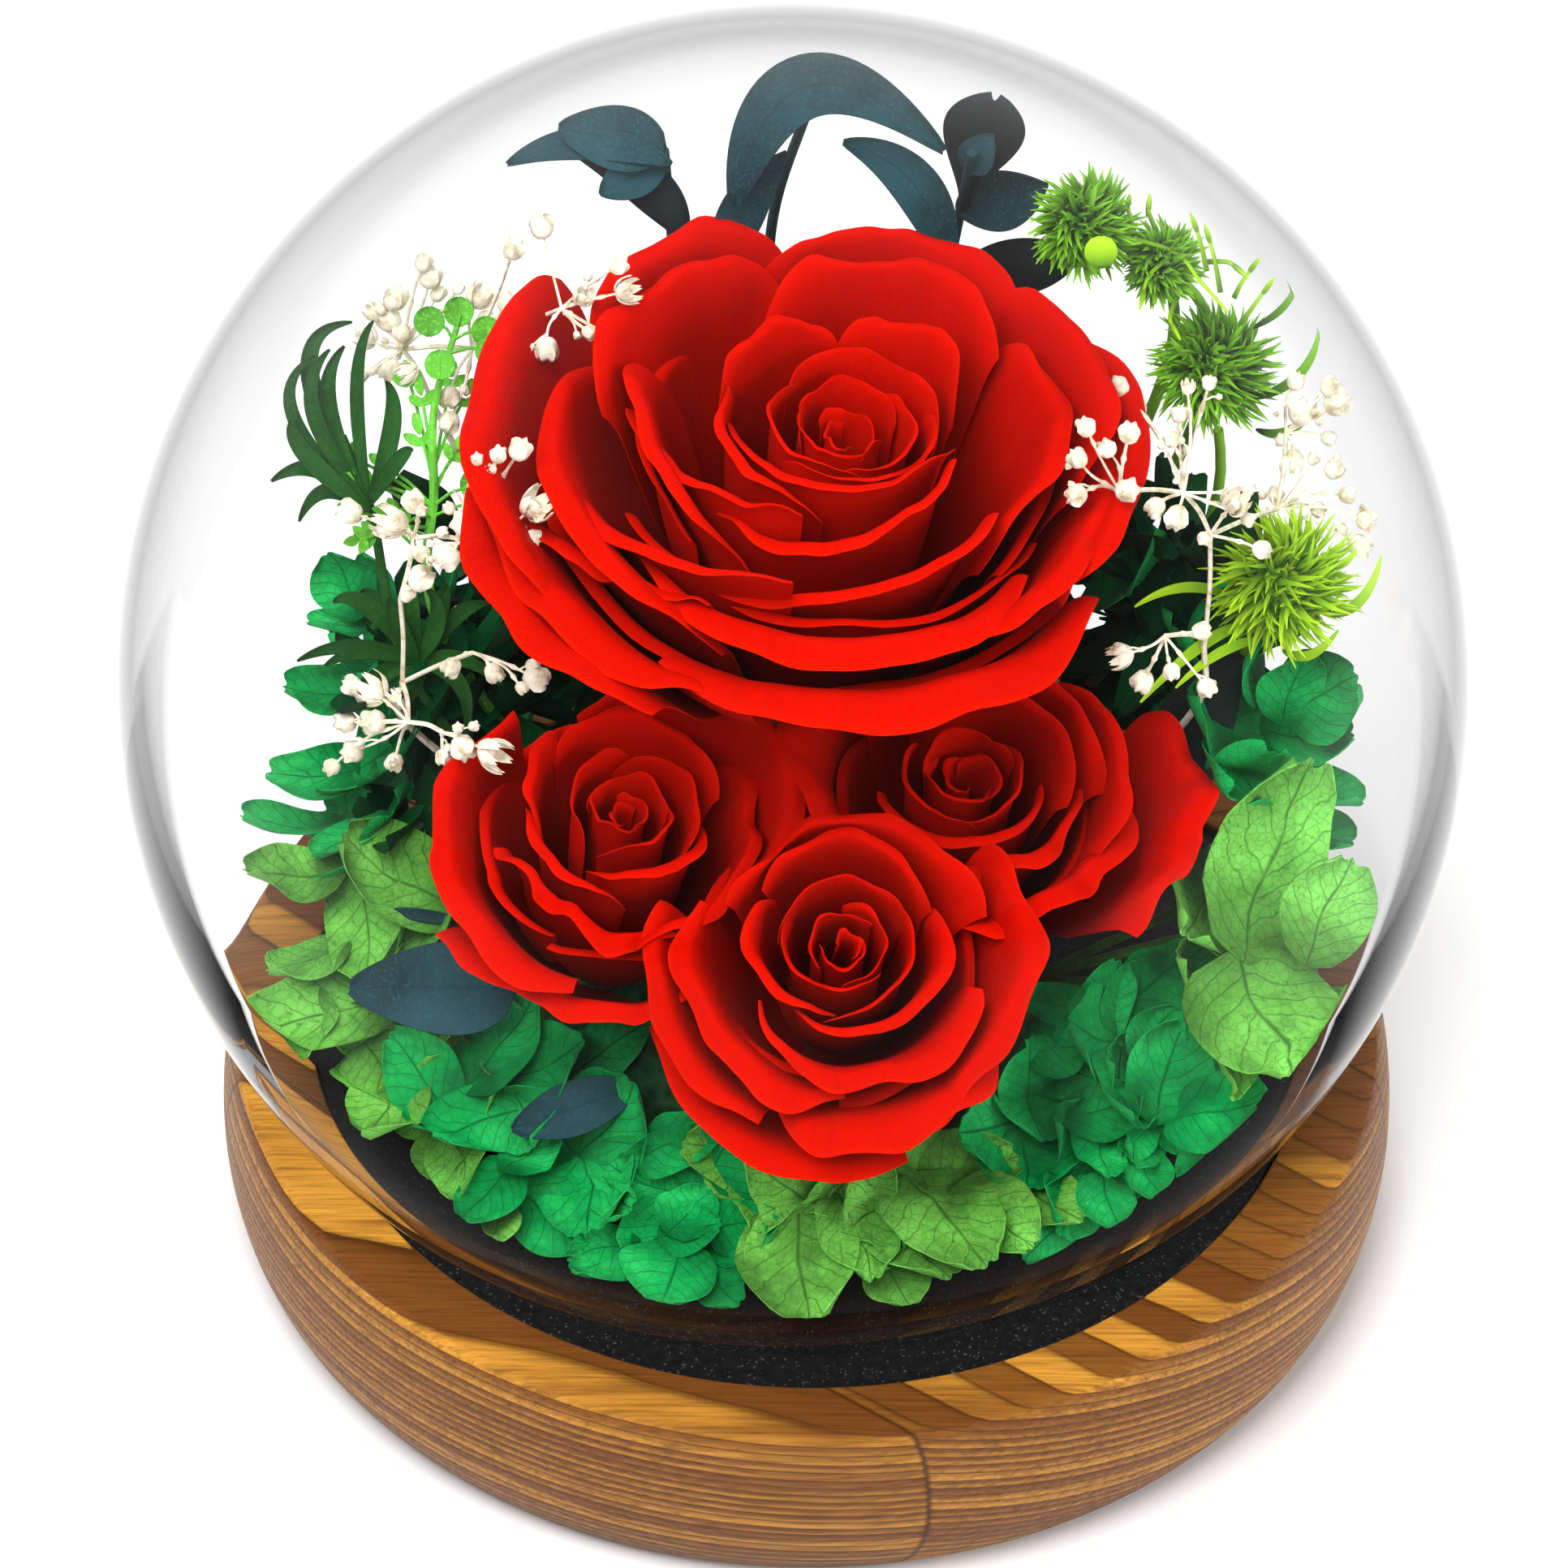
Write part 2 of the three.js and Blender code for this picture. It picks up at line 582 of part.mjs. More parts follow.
function babysBreath(spray, grow) {
  const end = vec(spray.stem[spray.stem.length - 1]);
  const pieces = [stalk(spray.stem.map(vec), [0, 0.35, 0.7, 1].map((at) => [at, 0.8 + grow]), 3)];
  for (const crown of spray.crowns) {
    const fork = vec(crown.at);
    const bend = end.clone().lerp(fork, 0.5).add(vec([0.2, 0, 0.3]));
    pieces.push(stalk([end, bend, fork], [[0, 0.7 + grow], [1, 0.6 + grow]], 3));
    pieces.push(toSolid(new THREE.OctahedronGeometry(FORK + grow)).translate(crown.at));
    for (const place of crown.buds) {
      const bud = vec(place);
      const length = bud.distanceTo(fork);
      const tip = bud.clone().addScaledVector(bud.clone().sub(fork), BUD / length);
      const middle = fork.clone().lerp(tip, 0.5).add(vec([0.1, 0, 0.5]));
      const stations = [[0, 0.5 + grow], [1 - (2 * BUD) / length, 0.45 + grow],
        [1 - BUD / length, BUD + grow], [1, 0.2 + grow]];
      pieces.push(stalk([fork, middle, tip], stations, 3));
    }
  }
  return join(pieces);
}

// Sprigs whose narrow blades or round leaves spring from points along a stem
const SPRIGS = {
  ruscus_left: {
    stem: [[-30, 12, 50], [-53, 8, 88], [-60, 22, 110], [-64, 28, 118]],
    width: 2.6,
    fans: [
      {
        at: 0.6,
        tips: [
          [-61, 17, 98], [-54, 17, 103], [-70, 8, 93], [-64, 5, 86], [-46, 3, 84], [-41, 7, 90],
          [-43, 14, 99], [-54, 5, 86],
        ],
      },
      {
        at: 0.9,
        tips: [
          [-74, 25, 112], [-71, 30, 119], [-68, 36, 126], [-62, 41, 128], [-58, 34, 123],
          [-70, 22, 107],
        ],
      },
    ],
  },
  green_sprig_left: {
    stem: [[-28, 14, 50], [-50, 16, 92], [-51, 24, 112], [-51, 30, 122], [-48, 38, 130]],
    width: 3,
    fans: [
      { at: 0.6, tips: [[-60, 12, 113], [-43, 20, 113], [-63, 27, 114]] },
      { at: 0.78, tips: [[-58, 26, 117], [-46, 33, 119]] },
      { at: 0.92, tips: [[-53, 40, 131], [-43, 34, 131]] },
    ],
  },
};

// A narrow blade as a flat spindle of eight faces
function blade(base, way, reach, width, grow) {
  const side = new THREE.Vector3().crossVectors(way, UP).normalize().multiplyScalar(width / 2 + grow);
  const normal = new THREE.Vector3().crossVectors(side, way).normalize().multiplyScalar(LEAF / 2 + grow);
  const middle = base.clone().addScaledVector(way, reach * 0.45);
  const points = [
    base.clone().addScaledVector(way, -0.5), middle.clone().add(side), middle.clone().add(normal),
    middle.clone().sub(side), middle.clone().sub(normal), base.clone().addScaledVector(way, reach),
  ];
  return solidFrom(points, [0, 1, 2, 0, 2, 3, 0, 3, 4, 0, 4, 1, 5, 2, 1, 5, 3, 2, 5, 4, 3, 5, 1, 4]);
}

function sprig(row, grow) {
  const path = new THREE.CatmullRomCurve3(row.stem.map(vec));
  const pieces = [stalk(row.stem.map(vec), stemStations(grow))];
  for (const { at, tips } of row.fans) {
    tips.forEach((tip, k) => {
      const foot = path.getPointAt(at - BLADE_STEP * k);
      const way = vec(tip).sub(foot);
      pieces.push(blade(foot, way.clone().normalize(), way.length(), row.width, grow));
    });
  }
  return join(pieces);
}

// Colours and finishes

const FINISHES = {
  wood: { color: '#9a5c1c', roughness: 0.5, metalness: 0 },
  black: { color: '#1c1c1e', roughness: 0.6, metalness: 0 },
  glass: { color: '#f4f7f8', roughness: 0.02, metalness: 0, transparent: true, opacity: 0.25 },
  foam: { color: '#274a2b', roughness: 0.95, metalness: 0 },
  rose: { color: '#d01405', roughness: 0.75, metalness: 0 },
  emerald: { color: '#149a4e', roughness: 0.7, metalness: 0 },
  light_green: { color: '#7ccb5e', roughness: 0.7, metalness: 0 },
  eucalyptus: { color: '#2f5a62', roughness: 0.65, metalness: 0 },
  ball: { color: '#5fa01c', roughness: 0.8, metalness: 0 },
  cream: { color: '#efe9d8', roughness: 0.8, metalness: 0 },
  ruscus: { color: '#1f4a1e', roughness: 0.6, metalness: 0 },
};

const arrangement = new THREE.Group();

function addMesh(name, solid, finish) {
  const mesh = new THREE.Mesh(toGeometry(solid), new THREE.MeshStandardMaterial(FINISHES[finish]));
  mesh.name = name;
  arrangement.add(mesh);
}

const roomProfile = [
  [0, RIM_HEIGHT], ...domeShell(ROOM_RADIUS).slice(0, -1), [0, DOME_CENTRE + ROOM_RADIUS],
];
const room = lathe(roomProfile, BASE_SEGMENTS);

// Adds a piece that keeps clear of all the pieces before it
let taken = floralFoam(GAP);
const stemHoles = [];

function addClear(name, build, finish) {
  addMesh(name, build(0).intersect(room).subtract(taken), finish);
  taken = taken.add(build(GAP)).add(build(0));
}

addMesh('wooden_base', woodenBase(), 'wood');
addMesh('black_disc', blackDisc(), 'black');
addMesh('glass_dome', glassDome(), 'glass');

for (const [name, rose] of Object.entries(ROSES)) {
  const place = roseFrame(rose);
  stemHoles.push(roseHeart(rose, GAP));
  addMesh(`${name}_heart`, roseHeart(rose, 0), 'rose');
  taken = taken.add(roseHeart(rose, GAP)).add(roseHeart(rose, 0));
  rose.petals.forEach((row, k) => {
    const build = (grow) => plate(petalSurface(place, row, rose.hip), PETAL + 2 * grow, 4, 3);
    addClear(`${name}_petal_${k + 1}`, build, 'rose');
  });
}

addMesh('floral_foam', floralFoam(0).subtract(join(stemHoles)), 'foam');

for (const [name, head] of Object.entries(HYDRANGEAS)) {
  const pale = ['hydrangea_lower_left', 'hydrangea_front', 'hydrangea_right'].includes(name);
  addClear(name, (grow) => hydrangea(head, grow), pale ? 'light_green' : 'emerald');
}
for (const [name, row] of Object.entries(EUCALYPTUS)) {
  addClear(name, (grow) => eucalyptus(row, grow), 'eucalyptus');
}
for (const [name, row] of Object.entries(LOW_LEAVES)) {
  addClear(name, (grow) => leaf(row, grow), 'eucalyptus');
}
for (const [name, row] of Object.entries(BALLS)) {
  addClear(name, (grow) => dianthus(row, grow), 'ball');
}
for (const [name, row] of Object.entries(SPRIGS)) {
  addClear(name, (grow) => sprig(row, grow), name === 'ruscus_left' ? 'ruscus' : 'ball');
}
for (const [name, row] of Object.entries(SPRAYS)) {
  addClear(name, (grow) => babysBreath(row, grow), 'cream');
}

export default arrangement;
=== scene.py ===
"""Preserved roses under a glass dome on a turned wooden base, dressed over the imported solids.

Lengths in the tables are millimetres in the frame's axes: +Z up, the roses face -Y.
"""

import math
import random

import bpy
import numpy as np
from mathutils import Matrix, Vector


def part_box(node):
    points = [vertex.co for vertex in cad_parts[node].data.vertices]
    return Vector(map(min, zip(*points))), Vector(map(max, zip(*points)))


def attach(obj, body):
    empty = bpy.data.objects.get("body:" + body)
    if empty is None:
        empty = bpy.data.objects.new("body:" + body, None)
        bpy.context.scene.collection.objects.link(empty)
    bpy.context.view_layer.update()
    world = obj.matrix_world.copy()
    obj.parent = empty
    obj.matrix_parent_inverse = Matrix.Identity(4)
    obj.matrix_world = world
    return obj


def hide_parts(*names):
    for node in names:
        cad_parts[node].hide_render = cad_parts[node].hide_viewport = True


bl_info = {
    "name": "Rose dome",
    "version": (1, 0, 0),
    "blender": (4, 5, 0),
    "location": "3D View > Sidebar > Rose dome",
    "description": "Builds preserved roses under a glass dome on a turned wooden base",
    "category": "Add Mesh",
}

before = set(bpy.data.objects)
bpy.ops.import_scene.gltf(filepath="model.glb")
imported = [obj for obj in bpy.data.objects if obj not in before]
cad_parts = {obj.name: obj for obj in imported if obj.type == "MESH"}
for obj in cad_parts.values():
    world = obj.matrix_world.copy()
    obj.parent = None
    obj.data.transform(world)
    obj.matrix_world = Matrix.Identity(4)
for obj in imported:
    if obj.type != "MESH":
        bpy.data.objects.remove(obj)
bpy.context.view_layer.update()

MM = 0.001
TINY = 1e-9
BODY = "root"
# The attribute that keeps u, v and the face of a sheet
SPACE = "sheet"

# What stays free under the glass and over the disc, in millimetres, and the share that is left of
# what would reach further
UNDER_GLASS = 5.5
ABOVE_DISC = 0.5
PRESSED_SHARE = 0.12

# The glued blocks of the base: the way across them, and their seams along it in metres
ACROSS_BLOCKS = (0.574, 0.819)
FRONT_SEAM = -0.057
BACK_SEAM = 0.0386

# The camera, fitted to the photograph: its focal length in millimetres, its distance from the
# dome's centre in metres, and how far its aim lies right of that centre and above it.
CAMERA_LENS = 335.35
CAMERA_DISTANCE = 2.051
CAMERA_AIM = (-0.001026, -0.014768)
CAMERA_LIFT = math.radians(44.18)
CAMERA_ROLL = math.radians(0.762)

# The way from the leaves to the viewer, and the number of sides of the base and of the disc
TO_VIEWER = (0, -0.7, 0.7)
ROUND = 192


# Sizes taken from the frame

def node_size(name):
    """The size of a solid in millimetres."""
    low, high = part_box(name)
    return (high - low) / MM


DOME_RADIUS = node_size("glass_dome").x / 2
DOME_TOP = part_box("glass_dome")[1].z / MM
DOME_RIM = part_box("glass_dome")[0].z / MM
DOME_CENTRE = DOME_TOP - DOME_RADIUS
BASE_RADIUS = node_size("wooden_base").x / 2
BASE_CENTRE = (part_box("wooden_base")[0].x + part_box("wooden_base")[1].x) / 2 / MM
BASE_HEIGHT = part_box("wooden_base")[1].z / MM
DISC_RADIUS = node_size("black_disc").x / 2
DISC_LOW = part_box("black_disc")[0].z / MM
DISC_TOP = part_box("black_disc")[1].z / MM


# Tables of the plants. Roses: a seat, an axis, and rows of petals laid around the axis: the swirl
# in the middle, the inner petals around it, and the outer petals.
# Petal row: turn and half width in degrees, foot height, belly and rim radius, top height, how far
# the lip folds out and drops, how round the rim is, how much one side tucks in, and how it slants.

ROSES = {
    "giant_rose": {
        "seat": (2.3, 16.4, 88.4), "axis": (0.1, -0.07, 0.99), "stem": (1, 8, 50), "hip": 9,
        "wave": 1.0, "ruffle": 1.1, "petal": 0.4,
        "swirl": [
            (200, 110, 6, 2.2, 2.4, 45, 0.2, 0.5, 0.10, 0.8, 0),
            (40, 105, 6, 3.6, 3.8, 46, 0.4, 0.4, 0.12, 1.0, 0),
            (-110, 100, 6, 5.0, 5.2, 47, 0.5, 0.4, 0.15, 1.2, 0),
            (110, 90, 5, 6.4, 6.8, 48, 0.6, 0.4, 0.20, 1.2, 0),
            (-20, 85, 5, 7.8, 8.4, 49, 0.7, 0.5, 0.22, 1.2, 0),
            (-150, 82, 4, 9.0, 9.6, 49.5, 0.8, 0.6, 0.22, 1.2, 0),
            (70, 80, 4, 10.2, 10.8, 50.5, 1.0, 0.6, 0.25, 1.2, 0),
            (-60, 78, 3, 11.0, 11.6, 51, 1.0, 0.8, 0.22, 1.2, 0),
        ],
        "inner": [
            (130, 40, 2, 13.2, 15.0, 53.5, 1.2, 1.0, 0.35, -3.0, 0),
            (60, 42, 2, 13.2, 15.2, 53.5, 1.2, 1.0, 0.35, 2.6, 0),
            (-100, 82, 2, 12.4, 14.2, 51.5, 1.4, 1.0, 0.20, 1.0, -2.5),
            (-150, 50, 2, 14.6, 16.4, 51.5, 1.8, 1.4, 0.25, 1.0, 0),
            (-144, 37, 2, 19.4, 24.3, 50, 1.5, 1.0, 0.10, 4.7, -2.3),
            (-141, 38, 1, 29.0, 36.0, 48.5, 3, 2, 0.14, 5.5, -5.5),
            (-139, 20, 0, 32.0, 39.0, 44.5, 4, 2, 0.14, 4.4, -2.8),
            (-87, 53, 0, 22.0, 26.8, 47, 3.5, 2.5, 0.16, 5.8, -5.4),
            (22, 36, 0, 27, 33.5, 53.5, 2.5, 1.5, 0.35, 0, 0),
            (134, 32, -1, 28, 35, 54, 2.5, 2, 0.35, -3, 0),
            (-90, 70, 1, 24, 29, 40, 1.5, 1, 0.15, 1.5, 0),
            (30, 70, 1, 23, 27, 42, 1.5, 1, 0.15, 1.5, 0),
            (150, 70, 1, 23, 27, 42, 1.5, 1, 0.15, 1.5, 0),
            (-30, 60, -2, 28, 33, 34, 3, 1, 0.15, 1.5, 0),
            (-150, 60, -2, 31, 37, 34, 3, 1, 0.15, 1.5, 0),
            (90, 64, -2, 26, 31, 38, 3, 1, 0.15, 1.5, 0),
        ],
        "petals": [
            (-83, 55, 2, 15.5, 19.3, 49, 1.5, 1.0, 0.12, 4.4, -4.0),
            (-163, 44, 2, 20, 27, 51, 3, 1.5, 0.4, 0, 1),
            (2, 44, 2, 20, 27, 52, 3, 1.5, 0.4, 0, -1),
            (-90, 54, -0.5, 27, 33, 48.5, 6, 6.5, 0.25, 3, 0),
            (-158, 44, -0.5, 31, 38, 50, 5, 4.5, 0.35, 0, 1.5),
            (-138, 32, -2, 38, 45, 45, 8, 5, 0.3, 1.5, 2),
            (-76, 47, -3, 33, 39, 45.5, 8.5, 8.5, 0.22, 1.5, 0),
            (-27, 38, -0.5, 29, 34.5, 48, 4, 3.5, 0.3, -1, -2),
            (-4, 42, -2, 32, 37, 50, 3.8, 4, 0.3, -1, -3),
            (146, 36, 1, 24, 31, 54.5, 2, 2, 0.3, -5, 0),
            (78, 44, 1, 20, 23.5, 56, 1.5, 1, 0.3, 3, 0),
            (80, 38, -0.5, 26, 31, 55.5, 2, 2, 0.4, 2, 0),
            (-176, 38, -3, 39, 47.5, 50, 6, 4, 0.3, -2, 3),
            (-147, 28, -3, 40, 48.5, 43.5, 8.5, 4, 0.3, 0, 2),
        ],
    },
    "left_rose": {
        "seat": (-26.2, -11.6, 56.7), "axis": (0.09, -0.17, 0.981), "stem": (-15, -6, 42), "hip": 5,
        "wave": 0.85, "ruffle": 2.0, "petal": 0.34,
        "swirl": [
            (160, 110, 5, 1.4, 1.4, 32, 0.2, 0.4, 0.10, 0.5, 0),
            (10, 100, 5, 2.6, 2.7, 33, 0.3, 0.3, 0.12, 0.6, 0),
            (-140, 95, 4, 3.7, 3.8, 34, 0.3, 0.3, 0.15, 0.8, 0),
            (80, 90, 4, 4.8, 4.9, 34.5, 0.4, 0.4, 0.2, 0.8, 0),
            (-40, 80, 3, 6.0, 6.2, 34.5, 0.5, 0.5, 0.25, 0.8, 0),
            (150, 72, 2, 7.2, 7.6, 35, 0.8, 0.6, 0.3, 0.9, 0),
            (30, 72, 2, 8.2, 8.8, 36, 0.9, 0.8, 0.3, 0.9, 0),
        ],
        "inner": [
            (-60, 62, 2, 9.0, 10.5, 36, 1.0, 2.0, 0.3, -1.5, 0),
            (-140, 54, 2, 10.0, 12.5, 34.5, 1.5, 2.0, 0.35, 0, 0),
            (158, 40, 2, 11.0, 12.8, 36.5, 1.2, 1.0, 0.35, 0, 0),
            (78, 62, 2, 11.0, 12.6, 38, 1.2, 1.0, 0.3, 0, 0),
            (-30, 90, 0, 14, 16, 24, 1.5, 0.5, 0.15, 1.0, 0),
            (150, 90, 0, 15, 18, 25, 1.5, 0.5, 0.15, 1.0, 0),
        ],
        "petals": [
            (-112, 56, 0, 13.5, 15.5, 32.5, 2.5, 4, 0.22, 0, 1),
            (46, 66, -0.5, 17, 20, 38.5, 2.5, 3, 0.3, 0, 0),
            (-20, 62, 0, 15, 16.3, 34.5, 2.5, 4, 0.25, 2.6, -1.5),
            (-163, 60, -1, 18, 22.5, 33.5, 3.5, 3, 0.2, -1, 5),
            (-104, 46, -2, 19, 23, 24, 4.5, 2.5, 0.15, 0, 0),
        ],
    },
    "front_rose": {
        "seat": (6.8, -22.5, 54.8), "axis": (0.02, -0.42, 0.907), "stem": (3, -8, 42), "hip": 5.5,
        "wave": 0.85, "ruffle": 2.0, "petal": 0.34,
        "swirl": [
            (60, 110, 5, 1.4, 1.4, 29, 0.2, 0.3, 0.10, 0.5, 0),
            (-80, 100, 5, 2.8, 2.8, 29.5, 0.3, 0.3, 0.12, 0.6, 0),
            (130, 95, 4, 4.0, 4.1, 30, 0.3, 0.3, 0.15, 0.8, 0),
            (0, 90, 4, 5.2, 5.4, 30.5, 0.4, 0.4, 0.2, 0.8, 0),
            (-120, 85, 3, 6.6, 6.9, 31.5, 0.5, 0.5, 0.25, 0.8, 0),
            (100, 76, 2, 7.8, 8.2, 32.5, 0.8, 0.6, 0.3, 0.9, 0),
            (-30, 74, 2, 8.8, 9.4, 32, 0.9, 0.8, 0.3, 0.9, 0),
        ],
        "inner": [
            (-155, 60, 2, 9.6, 10.8, 33, 1.0, 1.0, 0.3, 1.0, 0),
            (-50, 74, 2, 10.4, 12.2, 32.5, 1.5, 1.8, 0.25, -1.5, 0),
            (84, 62, 2, 11.5, 12.6, 35, 1.2, 1.2, 0.3, 0, 0),
            (-155, 40, -1.5, 20, 24, 29, 4, 3.5, 0.25, 0, 3),
            (-116, 46, -4, 20, 25, 20, 4.5, 2, 0.15, 0, 1),
            (0, 90, 0, 15, 17, 22, 1.5, 0.5, 0.15, 1.0, 0),
            (180, 90, 0, 15, 17, 23, 1.5, 0.5, 0.15, 1.0, 0),
        ],
        "petals": [
            (-80, 64, 2, 14, 16.5, 31.5, 2.5, 3, 0.2, -2, 0),
            (88, 74, 1, 14, 15.8, 35.5, 1.8, 2, 0.3, 1, 0),
            (-142, 54, 0, 16, 18.5, 31, 4, 4.5, 0.2, 0, 3),
            (-14, 52, -1, 19, 22.5, 32, 5, 4.5, 0.25, 1.5, -3),
            (-66, 48, -2.2, 18, 21, 27.5, 5.5, 5, 0.2, -1.5, 0),
        ],
    },
    "right_rose": {
        "seat": (22.5, -2.5, 57.5), "axis": (0.07, -0.17, 0.977), "stem": (14, -3, 42), "hip": 5,
        "wave": 0.85, "ruffle": 2.0, "petal": 0.34,
        "swirl": [
            (180, 110, 5, 2.2, 2.4, 30, 0.2, 0.3, 0.10, 0.5, 0),
            (20, 100, 5, 3.2, 3.5, 31, 0.3, 0.3, 0.12, 0.6, 0),
            (-120, 95, 4, 4.3, 4.6, 32, 0.3, 0.3, 0.15, 0.8, 0),
            (100, 88, 4, 5.4, 5.8, 33.5, 0.4, 0.4, 0.2, 0.8, 0),
            (-20, 80, 3, 6.6, 7.1, 33, 0.6, 0.5, 0.25, 0.8, 0),
            (-150, 74, 2, 7.7, 8.2, 33.5, 0.8, 0.6, 0.3, 0.9, 0),
        ],
        "inner": [
            (60, 76, 2, 10.4, 12.0, 36, 1.2, 1.0, 0.3, 1.0, 0),
            (-85, 84, 2, 9.4, 10.6, 33, 1.4, 1.8, 0.2, 0, 0),
            (14, 44, 0.5, 17.5, 20, 35.5, 2.5, 2.5, 0.3, 0, 0),
            (0, 90, 0, 15, 17, 24, 1.5, 0.5, 0.15, 1.0, 0),
            (180, 90, 0, 13, 15, 24, 1.5, 0.5, 0.15, 1.0, 0),
        ],
        "petals": [
            (-70, 70, 1.5, 11.5, 13.5, 32.5, 3, 3, 0.22, -3, 0),
            (74, 76, 0.4, 14.6, 16.6, 37, 2.5, 3, 0.3, 0.6, 0),
            (-174, 54, 0, 15.5, 19.5, 34, 3.5, 2, 0.3, 3.5, 0),
            (-40, 52, -1, 16.5, 19.5, 31, 4.5, 4, 0.25, -1, 0),
            (-4, 35, -2, 23, 29, 30.5, 4.5, 4, 0.3, 0.5, -3),
        ],
    },
}

# Hydrangea heads: a root, florets as place, radius and spin in degrees, and the single sepals that
# lie open towards the front, as foot, tip and width. Shaded leaves fill a box from its low to its
# high corner, a number of them, clear of a rose at x, y with its radius.

